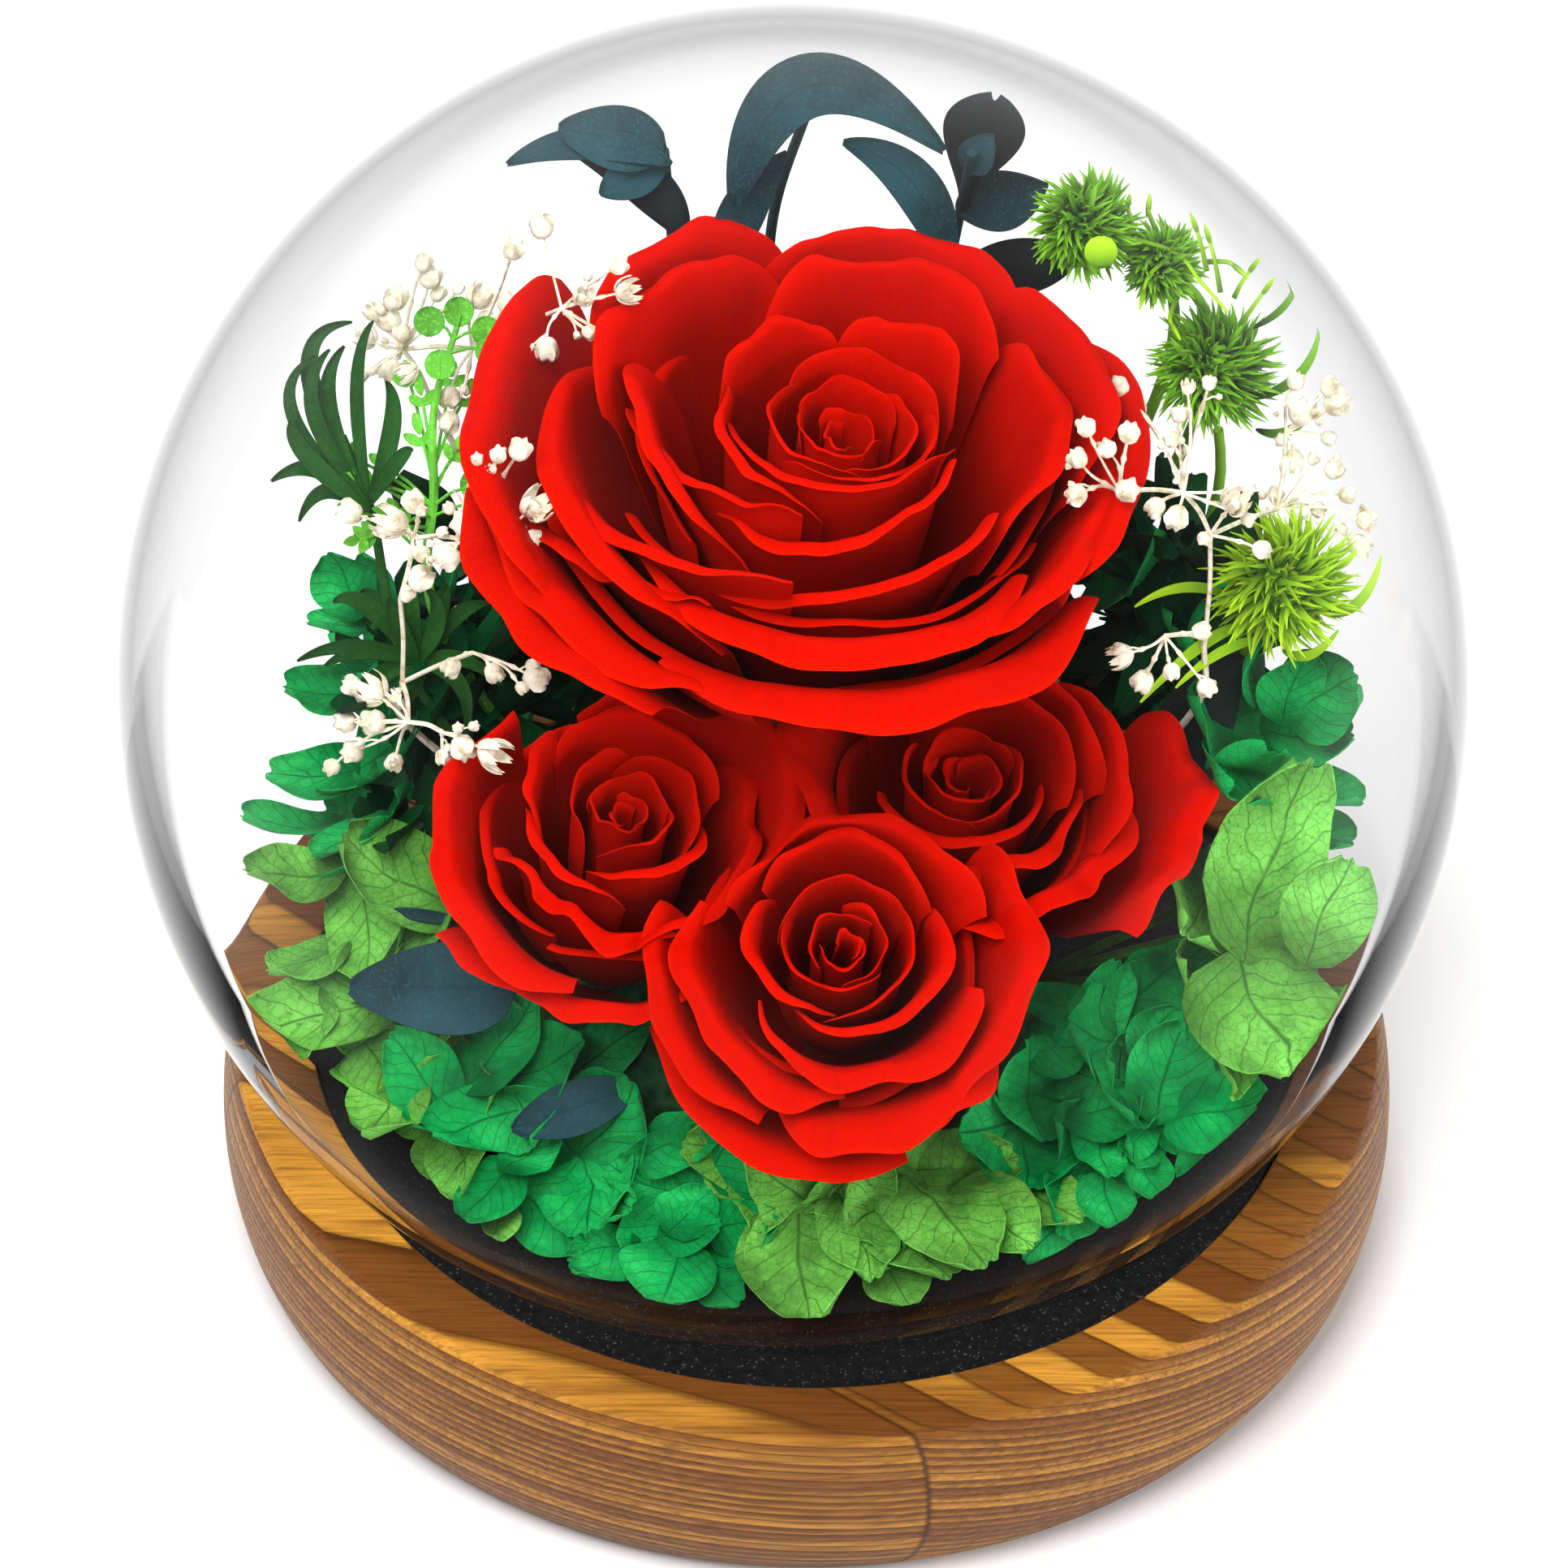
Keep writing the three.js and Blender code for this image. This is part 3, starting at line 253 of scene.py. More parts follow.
HYDRANGEAS = {
    "hydrangea_left": {
        "root": (-35, 4, 40), "pale": False,
        "fill": ((-56, 0, 56), (-29, 36, 94), 80, (-26, -12, 30)),
        "florets": [(-58, 25, 94, 13, 20), (-61, 14, 80, 14, 60), (-64, 8, 66, 14, 10)],
        "sepals": [
            ((-62, 22, 89), (-66, 28, 95), 9), ((-58, 25, 87), (-61, 30, 93), 8),
            ((-60, 23, 86), (-69, 22, 86), 7), ((-62, 18, 78), (-72, 17, 77), 12),
            ((-60, 19, 81), (-67, 21, 85), 8), ((-62, 11, 69), (-73, 12, 66), 10),
            ((-64, 8, 62), (-76, 8, 60), 6), ((-63, 9, 63), (-67, 3, 56), 8),
            ((-57, 13, 73), (-62, 15, 81), 9), ((-60, 10, 67), (-58, 15, 74), 8),
            ((-58, 4, 66), (-66, -1, 62), 8), ((-56, 16, 80), (-54, 12, 88), 9),
        ],
    },
    "hydrangea_lower_left": {
        "root": (-33, -8, 38), "pale": True,
        "florets": [(-54, -3, 62, 15, 15), (-64, -4, 52, 15, 50), (-57, -18, 47, 15, 70),
                    (-51, -30, 41, 14, 10)],
        "sepals": [
            ((-47, -7, 60), (-63, -1, 65), 12), ((-63, -1, 60), (-76, -3, 61), 8),
            ((-60, 0, 60), (-58, -14, 52), 11), ((-56, -3, 58), (-50, -12, 50), 8),
            ((-62, -9, 54), (-71, -12, 51), 9), ((-56, -15, 50), (-73, -19, 49), 11),
            ((-52, -25, 46), (-59, -37, 40), 14), ((-48, -32, 42), (-45, -43, 38), 9),
            ((-40, -44, 36), (-41, -51, 33), 8), ((-59, -20, 46), (-51, -28, 43), 9),
            ((-66, -14, 50), (-70, -26, 44), 9),
        ],
    },
    "hydrangea_front_left": {
        "root": (-24, -26, 38), "pale": False,
        "florets": [(-41, -28, 50, 15, 10), (-30, -40, 42, 16, 35), (-11, -48, 41, 15, 15)],
        "sepals": [
            ((-44, -30, 48), (-34, -20, 56), 10), ((-46, -32, 46), (-55, -23, 51), 9),
            ((-34, -32, 46), (-50, -36, 44), 10), ((-45, -30, 46), (-53, -36, 44), 6),
            ((-32, -27, 46), (-19, -21, 50), 9), ((-29, -34, 44), (-26, -49, 37), 16),
            ((-37, -42, 37), (-28, -50, 34), 10), ((-38, -41, 41), (-45, -47, 37), 9),
            ((-39, -43, 42), (-32, -35, 44), 8), ((-20, -41, 46), (-9, -38, 48), 7),
            ((-17, -50, 39), (-11, -45, 42), 8), ((-18, -50, 38), (-10, -50, 39), 7),
            ((-11, -50, 38), (-2, -48, 40), 8), ((-15, -51, 37), (-18, -60, 33), 13),
            ((-13, -50, 35), (-6, -59, 33), 10), ((-20, -49, 34), (-29, -55, 33), 8),
            ((-21, -49, 36), (-30, -52, 34), 8),
        ],
    },
    "hydrangea_front": {
        "root": (4, -36, 36), "pale": True,
        "florets": [(-4, -42, 47, 13, 40), (5, -50, 42, 16, 0), (22, -45, 43, 16, 60)],
        "sepals": [
            ((-1, -46, 42), (-6, -35, 46), 16), ((1, -46, 42), (3, -64, 34), 15),
            ((19, -43, 45), (3, -46, 40), 8), ((13, -44, 41), (7, -46, 40), 7),
            ((14, -45, 41), (22, -57, 36), 14), ((14, -52, 36), (18, -60, 33), 10),
            ((18, -43, 45), (27, -57, 38), 16), ((33, -41, 41), (41, -47, 38), 9),
            ((8, -46, 43), (12, -58, 36), 11), ((24, -44, 44), (35, -52, 38), 11),
        ],
    },
    "hydrangea_front_right": {
        "root": (28, -24, 38), "pale": False,
        "florets": [(35, -36, 48, 14, 25), (46, -39, 41, 15, 70), (57, -28, 45, 15, 50),
                    (50, -25, 56, 14, 80)],
        "sepals": [
            ((33, -35, 46), (34, -43, 41), 14), ((33, -28, 51), (34, -37, 46), 12),
            ((34, -28, 54), (42, -27, 54), 7), ((36, -27, 50), (43, -29, 50), 8),
            ((41, -22, 57), (33, -22, 57), 7), ((42, -26, 54), (45, -17, 60), 8),
            ((47, -21, 56), (58, -13, 61), 10), ((50, -28, 53), (53, -22, 57), 7),
            ((51, -35, 49), (54, -23, 54), 10), ((39, -35, 48), (49, -31, 50), 7),
            ((43, -34, 46), (44, -42, 42), 9), ((50, -33, 46), (48, -38, 42), 8),
            ((44, -41, 42), (46, -49, 37), 10), ((50, -36, 42), (53, -44, 38), 9),
            ((53, -34, 48), (67, -33, 46), 12), ((61, -36, 41), (57, -41, 38), 7),
            ((40, -46, 37), (34, -50, 34), 7),
        ],
    },
    "hydrangea_right": {
        "root": (34, 0, 40), "pale": True,
        "florets": [(63, -12, 72, 14.4, 24), (67, -21, 57, 16, 60), (73, -9, 64, 13, 0)],
        "sepals": [
            ((63, -20, 66), (70, 3, 79), 16), ((62, -21, 66), (70, -34, 56), 20),
            ((72, -21, 66), (77, -9, 73), 12), ((74, -21, 59), (79, -23, 57), 8),
            ((60, -16, 60), (61, -35, 50), 7),
        ],
    },
    "hydrangea_right_high": {
        "root": (33, 12, 42), "pale": False,
        "dark_leaf": ((58, 3, 67), (57, 8, 80), (64, 13, 91), 12),
        "fill": ((30, 0, 56), (60, 38, 97), 80, (22, -2, 42)),
        "florets": [(68, 6, 87, 15, 40), (62, 24, 92, 14, 70), (58, 28, 74, 15, 30)],
        "sepals": [
            ((69, 9, 83), (72, 15, 90), 11), ((70, 11, 83), (80, 14, 85), 12),
            ((67, 10, 80), (78, 11, 77), 10), ((70, 8, 75), (79, 4, 71), 10),
            ((70, 4, 71), (78, 1, 66), 9), ((66, 12, 85), (64, 15, 94), 9),
            ((47, 23, 94), (53, 26, 101), 9), ((41, 24, 91), (52, 28, 95), 10),
            ((56, 18, 88), (60, 24, 98), 10), ((62, 4, 78), (68, 0, 84), 10),
        ],
    },
    "hydrangea_back": {
        "root": (0, 36, 40), "pale": False,
        "florets": [(-34, 50, 62, 16, 10), (0, 58, 66, 16, 50), (34, 50, 62, 16, 70),
                    (-47, 36, 46, 15, 30), (-18, 54, 44, 15, 0), (14, 54, 44, 15, 60),
                    (44, 38, 46, 15, 35)],
        "sepals": [],
    },
}

# Leaves: base, tip, width, bow, facing, place of the widest point. Blades, which bend along their
# length: base, middle, tip, width, facing.

EUCALYPTUS = {
    "eucalyptus_left": {
        "stem": [(-10, 32, 50), (-15, 54, 95), (-18, 59, 128), (-19, 50, 153)],
        "leaves": [
            ((-16, 48, 155), (-34, 52, 155), 9.5, 1, (0.1, -0.6, 0.8), 0.4),
            ((-15, 46, 149), (-28, 45, 149), 6.5, 1, (0, -0.7, 0.7), 0.5),
        ],
        "blades": [
            ((-18, 47, 153), (-30, 50, 154), (-41, 50, 150), 5, (0, -0.5, 0.8)),
            ((-16, 45, 141), (-22, 49, 148), (-32, 51, 152), 6.5, (0, 0.7, -0.7)),
        ],
    },
    "eucalyptus_middle": {
        "stem": [(-2, 34, 50), (-3, 56, 95), (-4, 61, 128), (2, 50, 165)],
        "leaves": [],
        "blades": [
            ((-9, 43, 149), (1, 49, 166), (20, 45, 158), 9, (0, -0.7, 0.7)),
            ((-10, 43, 137), (-8, 46, 146), (-2, 48, 155), 7, (0.3, -0.7, 0.5)),
        ],
    },
    "eucalyptus_right": {
        "stem": [(8, 32, 50), (16, 54, 93), (22, 59, 128), (24, 47, 156)],
        "leaves": [
            ((25, 46, 134), (27, 50, 163), 11.5, 1, (0, 0.8, -0.6), 0.6),
            ((16, 49, 150), (27, 50, 157), 5.5, 1, (0.1, -0.5, 0.8), 0.45),
            ((27, 47, 134), (35, 52, 146), 9, 1, (0, -0.8, 0.5), 0.5),
            ((29, 56, 117), (39, 49, 135), 9, 1, (0, 0.9, -0.4), 0.5),
        ],
        "blades": [
            ((21, 45, 136), (16, 48, 149), (6, 50, 155), 7, (0.2, -0.7, 0.6)),
        ],
    },
    "eucalyptus_leaf_left": {
        "stem": None,
        "leaves": [((-38, -23, 60), (-61, -21, 58), 13, 1, (0, -0.7, 0.7), 0.35)],
        "blades": [((-56, -8, 60), (-51, -9, 60), (-45, -10, 60), 1.8, (0, -0.7, 0.7))],
    },
    "eucalyptus_leaf_front": {
        "stem": None,
        "leaves": [((-21, -32, 50), (-38, -38, 48), 7.5, 1, (0, -0.7, 0.7), 0.5)],
        "blades": [],
    },
}

BALLS = {
    "dianthus_ball_top": {
        "centre": (40, 39, 150), "radius": 8.5, "stem": [(20, 28, 50), (48, 46, 100), (53, 47, 130)],
        "lime": False, "blades": [],
    },
    "dianthus_ball_upper": {
        "centre": (51, 38, 144), "radius": 6.5, "stem": [(23, 25, 50), (54, 43, 100), (58, 45, 126)],
        "lime": False, "blades": [],
    },
    "dianthus_ball_middle": {
        "centre": (59, 37, 125), "radius": 10, "stem": [(26, 21, 50), (58, 38, 90)], "lime": False,
        "blades": [
            ((64, 34, 122), (71, 36, 125), (74, 40, 131), 1.4),
            ((65, 32, 118), (70, 32, 118), (74, 36, 121), 1.4),
            ((64, 40, 130), (69, 42, 133), (71, 44, 138), 1.0),
        ],
    },
    "dianthus_ball_low": {
        "centre": (69, 14, 105), "radius": 11, "stem": [(30, 15, 50), (60, 16, 82)], "lime": True,
        "blades": [
            ((62, 13, 103), (55, 13, 105), (48, 11, 103), 1.5),
            ((64, 13, 98), (57, 8, 98), (49, 2, 93), 1.7),
            ((66, 11, 97), (60, 9, 96), (54, 5, 93), 1.5),
            ((75, 11, 102), (80, 13, 103), (83, 18, 107), 1.5),
            ((69, 9, 97), (73, 9, 96), (77, 11, 99), 1.4),
            ((74, 15, 108), (77, 14, 109), (79, 15, 111), 1.2),
        ],
    },
}

# Thin cress twigs beside the upper balls, and the round leaf on them: centre and radius.

CRESS = [
    [(41, 38, 150), (52, 36, 148), (56, 32, 146), (60, 30, 142)],
    [(50, 40, 148), (49, 43, 149), (49, 44, 150)],
    [(57, 34, 146), (56, 37, 149), (55, 39, 151)],
    [(59, 33, 143), (58, 36, 147), (57, 39, 149)],
    [(57, 36, 146), (60, 36, 146), (62, 35, 145)],
    [(61, 33, 142), (62, 34, 144), (64, 37, 145)],
    [(62, 32, 138), (64, 33, 141), (66, 35, 143)],
    [(52, 35, 148), (49, 34, 145), (48, 32, 142)],
    [(52, 37, 147), (50, 35, 145), (50, 34, 141)],
    [(47, 38, 149), (46, 41, 151), (46, 41, 153)],
    [(53, 32, 143), (52, 31, 140), (53, 30, 138)],
]
CRESS_LEAF = ((42, 31, 152), 2.2)

SPRAYS = {
    "babys_breath_high": {
        "stem": [(-22, 26, 50), (-46, 40, 98), (-52, 42, 112)],
        "crowns": [
            ((-56, 43, 121), [
                (-53, 46, 135, 2.6), (-52, 46, 132, 3.2), (-57, 45, 129, 3.6), (-58, 45, 125, 3.6),
                (-60, 45, 126, 2.6), (-51, 46, 129, 2.4), (-48, 45, 131, 1.8), (-61, 43, 123, 3.0),
                (-58, 42, 118, 3.4), (-62, 42, 117, 2.6), (-56, 42, 125, 2.4)]),
            ((-46, 40, 124), [
                (-45, 43, 131, 3.6), (-41, 42, 131, 3.0), (-40, 40, 143, 3.0), (-44, 42, 127, 3.2),
                (-42, 41, 128, 2.6), (-41, 30, 132, 3.6), (-49, 32, 122, 3.0), (-49, 30, 119, 3.0),
                (-55, 38, 121, 3.0)]),
            ((-33, 30, 141), [
                (-30, 28, 145, 2.8), (-35, 26, 137, 3.4), (-27, 24, 142, 2.2), (-29, 24, 142, 2.0),
                (-24, 26, 148, 3.4), (-25, 28, 151, 2.6), (-36, 38, 149, 3.4)]),
        ],
    },
    "babys_breath_left": {
        "stem": [(-28, 10, 50), (-54, 8, 80), (-55, 3, 94)],
        "crowns": [
            ((-55, 1, 112), [(-54, 0, 114, 2.2), (-52, 0, 117, 3.6)]),
            ((-53, 3, 122), [
                (-62, 6, 124, 3.4), (-56, 4, 124, 4.6), (-53, 4, 128, 3.2), (-52, 0, 122, 2.4),
                (-49, 2, 124, 1.8)]),
            ((-47, 2, 123), [
                (-46, 0, 128, 3.6), (-43, -1, 131, 3.6), (-48, -1, 122, 3.2), (-44, -2, 123, 3.2),
                (-38, 0, 142, 3.2), (-41, 0, 141, 2.4), (-44, 0, 140, 1.8)]),
            ((-41, -3, 128), [
                (-36, -5, 136, 4.2), (-38, -5, 131, 2.4), (-36, -6, 131, 2.4), (-40, -5, 128, 2.6)]),
            ((-54, -3, 92), [
                (-62, 2, 94, 3.0), (-59, 1, 94, 4.2), (-63, 0, 89, 3.2), (-59, -2, 91, 3.6),
                (-62, -2, 85, 3.2), (-65, -2, 82, 2.4), (-56, -4, 85, 2.6), (-56, -1, 95, 1.8)]),
            ((-49, -8, 95), [(-49, -10, 92, 2.2), (-46, -12, 96, 3.6), (-42, -14, 97, 4.4)]),
            ((-45, 2, 101), [
                (-48, 2, 98, 2.8), (-42, 0, 99, 2.6), (-36, -1, 99, 3.6), (-38, -2, 98, 1.8)]),
        ],
    },
    "babys_breath_right": {
        "stem": [(32, 10, 50), (56, 8, 84), (58, 8, 100)],
        "crowns": [
            ((58, 8, 120), [(57, 4, 123, 2.0), (65, 3, 122, 2.6), (61, 6, 128, 3.8)]),
            ((54, 8, 128), [
                (50, 5, 128, 2.8), (53, 4, 127, 3.4), (53, 10, 141, 2.4), (54, 11, 145, 2.0),
                (57, 12, 145, 2.0), (52, 9, 137, 2.2), (45, 24, 133, 3.0), (48, 24, 129, 2.6),
                (63, 9, 128, 2.0), (63, 6, 125, 2.0)]),
            ((45, 6, 130), [
                (40, 5, 143, 2.8), (39, 4, 138, 2.8), (39, 3, 132, 3.0), (43, 5, 139, 2.6),
                (46, 6, 141, 3.0), (46, 3, 133, 3.4)]),
            ((52, 0, 108), [
                (46, -2, 106, 3.4), (49, -3, 102, 3.2), (53, -3, 104, 2.4), (58, -3, 101, 2.8),
                (57, 0, 109, 2.6)]),
            ((68, 22, 112), [
                (73, 26, 118, 1.8), (76, 25, 117, 2.8), (68, 25, 112, 2.6), (78, 24, 113, 2.4),
                (81, 23, 109, 2.8), (80, 20, 107, 3.4), (74, 24, 110, 2.2)]),
            ((69, 27, 122), [
                (70, 28, 131, 2.6), (75, 28, 130, 3.0), (76, 27, 128, 3.8), (71, 27, 126, 3.8),
                (75, 26, 122, 2.2), (70, 26, 118, 3.2)]),
        ],
    },
}

# Ruscus: its stem, and fans of narrow blades, as the base of each fan and the middle and tip of its
# blades. Green sprig: its stem, leaflets on side twigs, and round leaves.

RUSCUS = {
    "stem": [(-30, 12, 50), (-53, 8, 88), (-60, 22, 110), (-64, 28, 118)],
    "fans": [
        ((-53, 9, 92), [
            ((-58, 14, 98), (-61, 17, 98)), ((-54, 14, 99), (-54, 17, 103)),
            ((-50, 13, 98), (-49, 15, 102)), ((-62, 9, 95), (-70, 8, 93)), ((-60, 7, 96), (-66, 4, 96)),
            ((-59, 6, 92), (-64, 5, 86)), ((-47, 6, 91), (-46, 3, 84)), ((-47, 9, 93), (-41, 7, 90)),
            ((-48, 13, 97), (-43, 14, 99)), ((-60, 14, 98), (-65, 16, 97)),
            ((-58, 6, 92), (-60, 5, 88)), ((-53, 6, 92), (-54, 5, 88)), ((-56, 10, 99), (-57, 11, 103)),
            ((-50, 11, 99), (-52, 12, 104))]),
        ((-60, 19, 112), [
            ((-67, 24, 115), (-74, 25, 112)), ((-69, 24, 118), (-71, 30, 119))]),
        ((-60, 20, 112), [
            ((-71, 30, 120), (-68, 36, 126)), ((-69, 36, 123), (-63, 41, 128)),
            ((-62, 33, 123), (-60, 41, 128)), ((-57, 29, 119), (-58, 34, 123))]),
        ((-60, 19, 112), [
            ((-66, 23, 112), (-70, 22, 107))]),
        ((-60, 20, 112), [
            ((-56, 24, 117), (-54, 25, 118)), ((-66, 30, 121), (-64, 37, 127))]),
        ((-61, 22, 113), [
            ((-68, 29, 122), (-66, 36, 127))]),
    ],
}
GREEN_SPRIG = {
    "stem": [(-28, 14, 50), (-50, 16, 92), (-51, 24, 112), (-51, 30, 122), (-48, 38, 130)],
    "leaflets": [
        (-63, 28, 114), (-61, 23, 114), (-58, 26, 114), (-64, 26, 113), (-57, 18, 113),
        (-60, 14, 112), (-61, 12, 113), (-55, 15, 113), (-48, 27, 116), (-45, 31, 117),
        (-46, 22, 114), (-43, 20, 113), (-53, 29, 117), (-49, 40, 118), (-47, 35, 119),
        (-55, 40, 118), (-53, 35, 119), (-59, 22, 108), (-56, 24, 106), (-62, 21, 110),
    ],
    "round": [(-52, 39, 130), (-48, 40, 131), (-43, 33, 130), (-50, 30, 130), (-44, 36, 131)],
}


# Settings that a user may change

class BaseSettings(bpy.types.PropertyGroup):
    wood_dark: bpy.props.FloatVectorProperty(
        name="Wood, dark", description="Colour of the brown layers", subtype="COLOR", size=3,
        min=0, max=1, default=(0.135, 0.042, 0.0075))
    wood_gold: bpy.props.FloatVectorProperty(
        name="Wood, golden", description="Colour of the golden layers", subtype="COLOR", size=3,
        min=0, max=1, default=(0.56, 0.25, 0.03))
    layer_spacing: bpy.props.FloatProperty(
        name="Layer spacing", description="Distance between growth layers", subtype="DISTANCE",
        unit="LENGTH", min=0.001, max=0.02, default=0.0014)
    foot_inset: bpy.props.FloatProperty(
        name="Foot inset", description="How far the side draws in at the underside", subtype="DISTANCE",
        unit="LENGTH", min=0, max=0.02, default=0.0071)
    disc_colour: bpy.props.FloatVectorProperty(
        name="Disc", description="Colour of the disc in the recess", subtype="COLOR", size=3,
        min=0, max=1, default=(0.0055, 0.0056, 0.006))


class DomeSettings(bpy.types.PropertyGroup):
    wall: bpy.props.FloatProperty(
        name="Wall", description="Thickness of the glass", subtype="DISTANCE", unit="LENGTH",
        min=0.001, max=0.006, default=0.0022)
    tint: bpy.props.FloatVectorProperty(
        name="Tint", description="Colour of the glass", subtype="COLOR", size=3, min=0, max=1,
        default=(0.93, 0.93, 0.935))
    ior: bpy.props.FloatProperty(
        name="IOR", description="How strongly the glass bends light", min=1, max=2, default=1.46)


class RoseSettings(bpy.types.PropertyGroup):
    lit: bpy.props.FloatVectorProperty(
        name="Petal", description="Colour of the petals", subtype="COLOR", size=3, min=0, max=1,
        default=(0.52, 0.003, 0.0))
    # Painted shade: the darker red that the petals are painted towards their foot; the veins take it
    # too
    shade_and_vein_red: bpy.props.FloatVectorProperty(
        name="Petal, deep", description="Colour towards the foot of the petals", subtype="COLOR",
        size=3, min=0, max=1, default=(0.19, 0.0003, 0.0))
    waviness: bpy.props.FloatProperty(
        name="Waviness", description="How wavy the rims are", subtype="FACTOR", min=0, max=3,
        default=1.0)


class FoliageSettings(bpy.types.PropertyGroup):
    emerald: bpy.props.FloatVectorProperty(
        name="Emerald", description="Colour of the dark hydrangea", subtype="COLOR", size=3,
        min=0, max=1, default=(0.003, 0.31, 0.062))
    pale: bpy.props.FloatVectorProperty(
        name="Light green", description="Colour of the light hydrangea", subtype="COLOR", size=3,
        min=0, max=1, default=(0.125, 0.41, 0.055))
    teal: bpy.props.FloatVectorProperty(
        name="Eucalyptus", description="Colour of the eucalyptus leaves", subtype="COLOR", size=3,
        min=0, max=1, default=(0.013, 0.05, 0.06))
    hairs: bpy.props.IntProperty(
        name="Hairs", description="Hairs on each fringed ball", min=50, max=1500, default=520)
    seed: bpy.props.IntProperty(
        name="Seed", description="Changes what is random in the greenery", min=0, max=999, default=7)


class StageSettings(bpy.types.PropertyGroup):
    floor: bpy.props.FloatVectorProperty(
        name="Floor", description="Colour of the floor", subtype="COLOR", size=3, min=0, max=1,
        default=(0.85, 0.85, 0.85))
    sky: bpy.props.FloatProperty(
        name="Sky", description="Strength of the even light from all round", min=0, max=3,
        default=0.38)
    reflected: bpy.props.FloatProperty(
        name="Reflected sky", description="Strength of the sky that surfaces mirror", min=0, max=3,
        default=0.82)
    inner: bpy.props.FloatProperty(
        name="Sky inside", description="Strength of the sky that things under the glass mirror",
        min=0, max=3, default=0.2)
    key: bpy.props.FloatProperty(
        name="Key", description="Power of the large lamp overhead", subtype="POWER", unit="POWER",
        min=0, max=200, default=14.5)


# Meshes

class Shells:
    """Closed thin shells gathered into one mesh. Each point keeps u, v and which face it's on."""

    def __init__(self):
        self.points = []
        self.space = []
        self.faces = []
        self.count = 0

    def add(self, points, faces, space):
        self.faces += [tuple(i + self.count for i in face) for face in faces]
        self.points.append(points)
        self.space.append(space)
        self.count += len(points)

    def mesh(self, name, sharp=60):
        mesh = bpy.data.meshes.new(name)
        mesh.from_pydata((np.vstack(self.points) * MM).tolist(), [], self.faces)
        attribute = mesh.attributes.new(SPACE, "FLOAT_VECTOR", "POINT")
        attribute.data.foreach_set("vector", np.vstack(self.space).astype(np.float32).ravel())
        mesh.shade_smooth()
        mesh.set_sharp_from_angle(angle=math.radians(sharp))
        mesh.update()
        return mesh

    def piece(self, name, material, sharp=60):
        return new_object(name, self.mesh(name, sharp), material)

    def sheet(self, surface, columns, rows, thickness, rim=0.5):
        """A shell round surface(u, v), u from -1 to 1 and v from 0 to 1, thinner at its rim."""
        u, v = np.meshgrid(np.linspace(-1, 1, columns + 1), np.linspace(0, 1, rows + 1))
        middle = surface(u, v)
        normal = np.cross(np.gradient(middle, axis=1), np.gradient(middle, axis=0))
        normal /= np.maximum(np.linalg.norm(normal, axis=2, keepdims=True), TINY)
        near_rim = np.maximum(v ** 6, np.abs(u) ** 6)
        half = normal * (thickness / 2 * (1 - (1 - rim) * near_rim))[..., None]
        points = [(middle + way * half).reshape(-1, 3) for way in (1, -1)]
        space = [np.dstack([u, v, np.full_like(u, face)]).reshape(-1, 3) for face in (0, 1)]
        self.add(np.concatenate(points), sheet_faces(columns, rows), np.concatenate(space))

    def tube(self, path, radii, sides=6):
        """A closed stalk along a path of points, with a radius at each."""
        path = np.asarray(path, float)
        tangent = np.gradient(path, axis=0)
        tangent /= np.linalg.norm(tangent, axis=1, keepdims=True)
        side = np.cross(tangent[0], (0.3, 0.9, 0.2))
        points, space = [], []
        angles = np.linspace(0, 2 * math.pi, sides, endpoint=False)
        for k, (centre, radius) in enumerate(zip(path, radii)):
            side = side - tangent[k] * side.dot(tangent[k])
            side /= np.linalg.norm(side)
            other = np.cross(tangent[k], side)
            points.append(centre + radius * (np.cos(angles)[:, None] * side
                                             + np.sin(angles)[:, None] * other))
            space.append(ring_space(angles, k / (len(path) - 1)))
        faces = []
        for k in range(len(path) - 1):
            for i in range(sides):
                a, b = k * sides + i, k * sides + (i + 1) % sides
                faces.append((a, b, b + sides, a + sides))
        faces.append(tuple(reversed(range(sides))))
        faces.append(tuple(range((len(path) - 1) * sides, len(path) * sides)))
        self.add(np.vstack(points), faces, np.vstack(space))

    def turned(self, profile, segments, place):
        """A body of revolution. The profile runs from axis to axis, and place(angle, r, z) sets it."""
        angles = np.linspace(0, 2 * math.pi, segments, endpoint=False)
        rings = profile[1:-1]
        points = [place(0.0, 0.0, profile[0][1])[None, :]]
        space = [np.array([[0, 0, 0]])]
        for k, (r, z) in enumerate(rings):
            points.append(place(angles, np.full(segments, r), np.full(segments, z)))
            space.append(ring_space(angles, k / len(rings)))
        points.append(place(0.0, 0.0, profile[-1][1])[None, :])
        space.append(np.array([[0, 1, 0]]))
        faces = []
        last = 1 + len(rings) * segments
        for i in range(segments):
            n = (i + 1) % segments
            faces.append((0, 1 + n, 1 + i))
            faces.append((last, last - segments + i, last - segments + n))
            for k in range(len(rings) - 1):
                a = 1 + k * segments
                faces.append((a + i, a + n, a + segments + n, a + segments + i))
        self.add(np.vstack(points), faces, np.vstack(space))


def ring_space(angles, part):
    """What the points of a ring keep: the side they are on, and how far along the ring is."""
    return np.column_stack([np.cos(angles), np.full(len(angles), part), np.zeros(len(angles))])


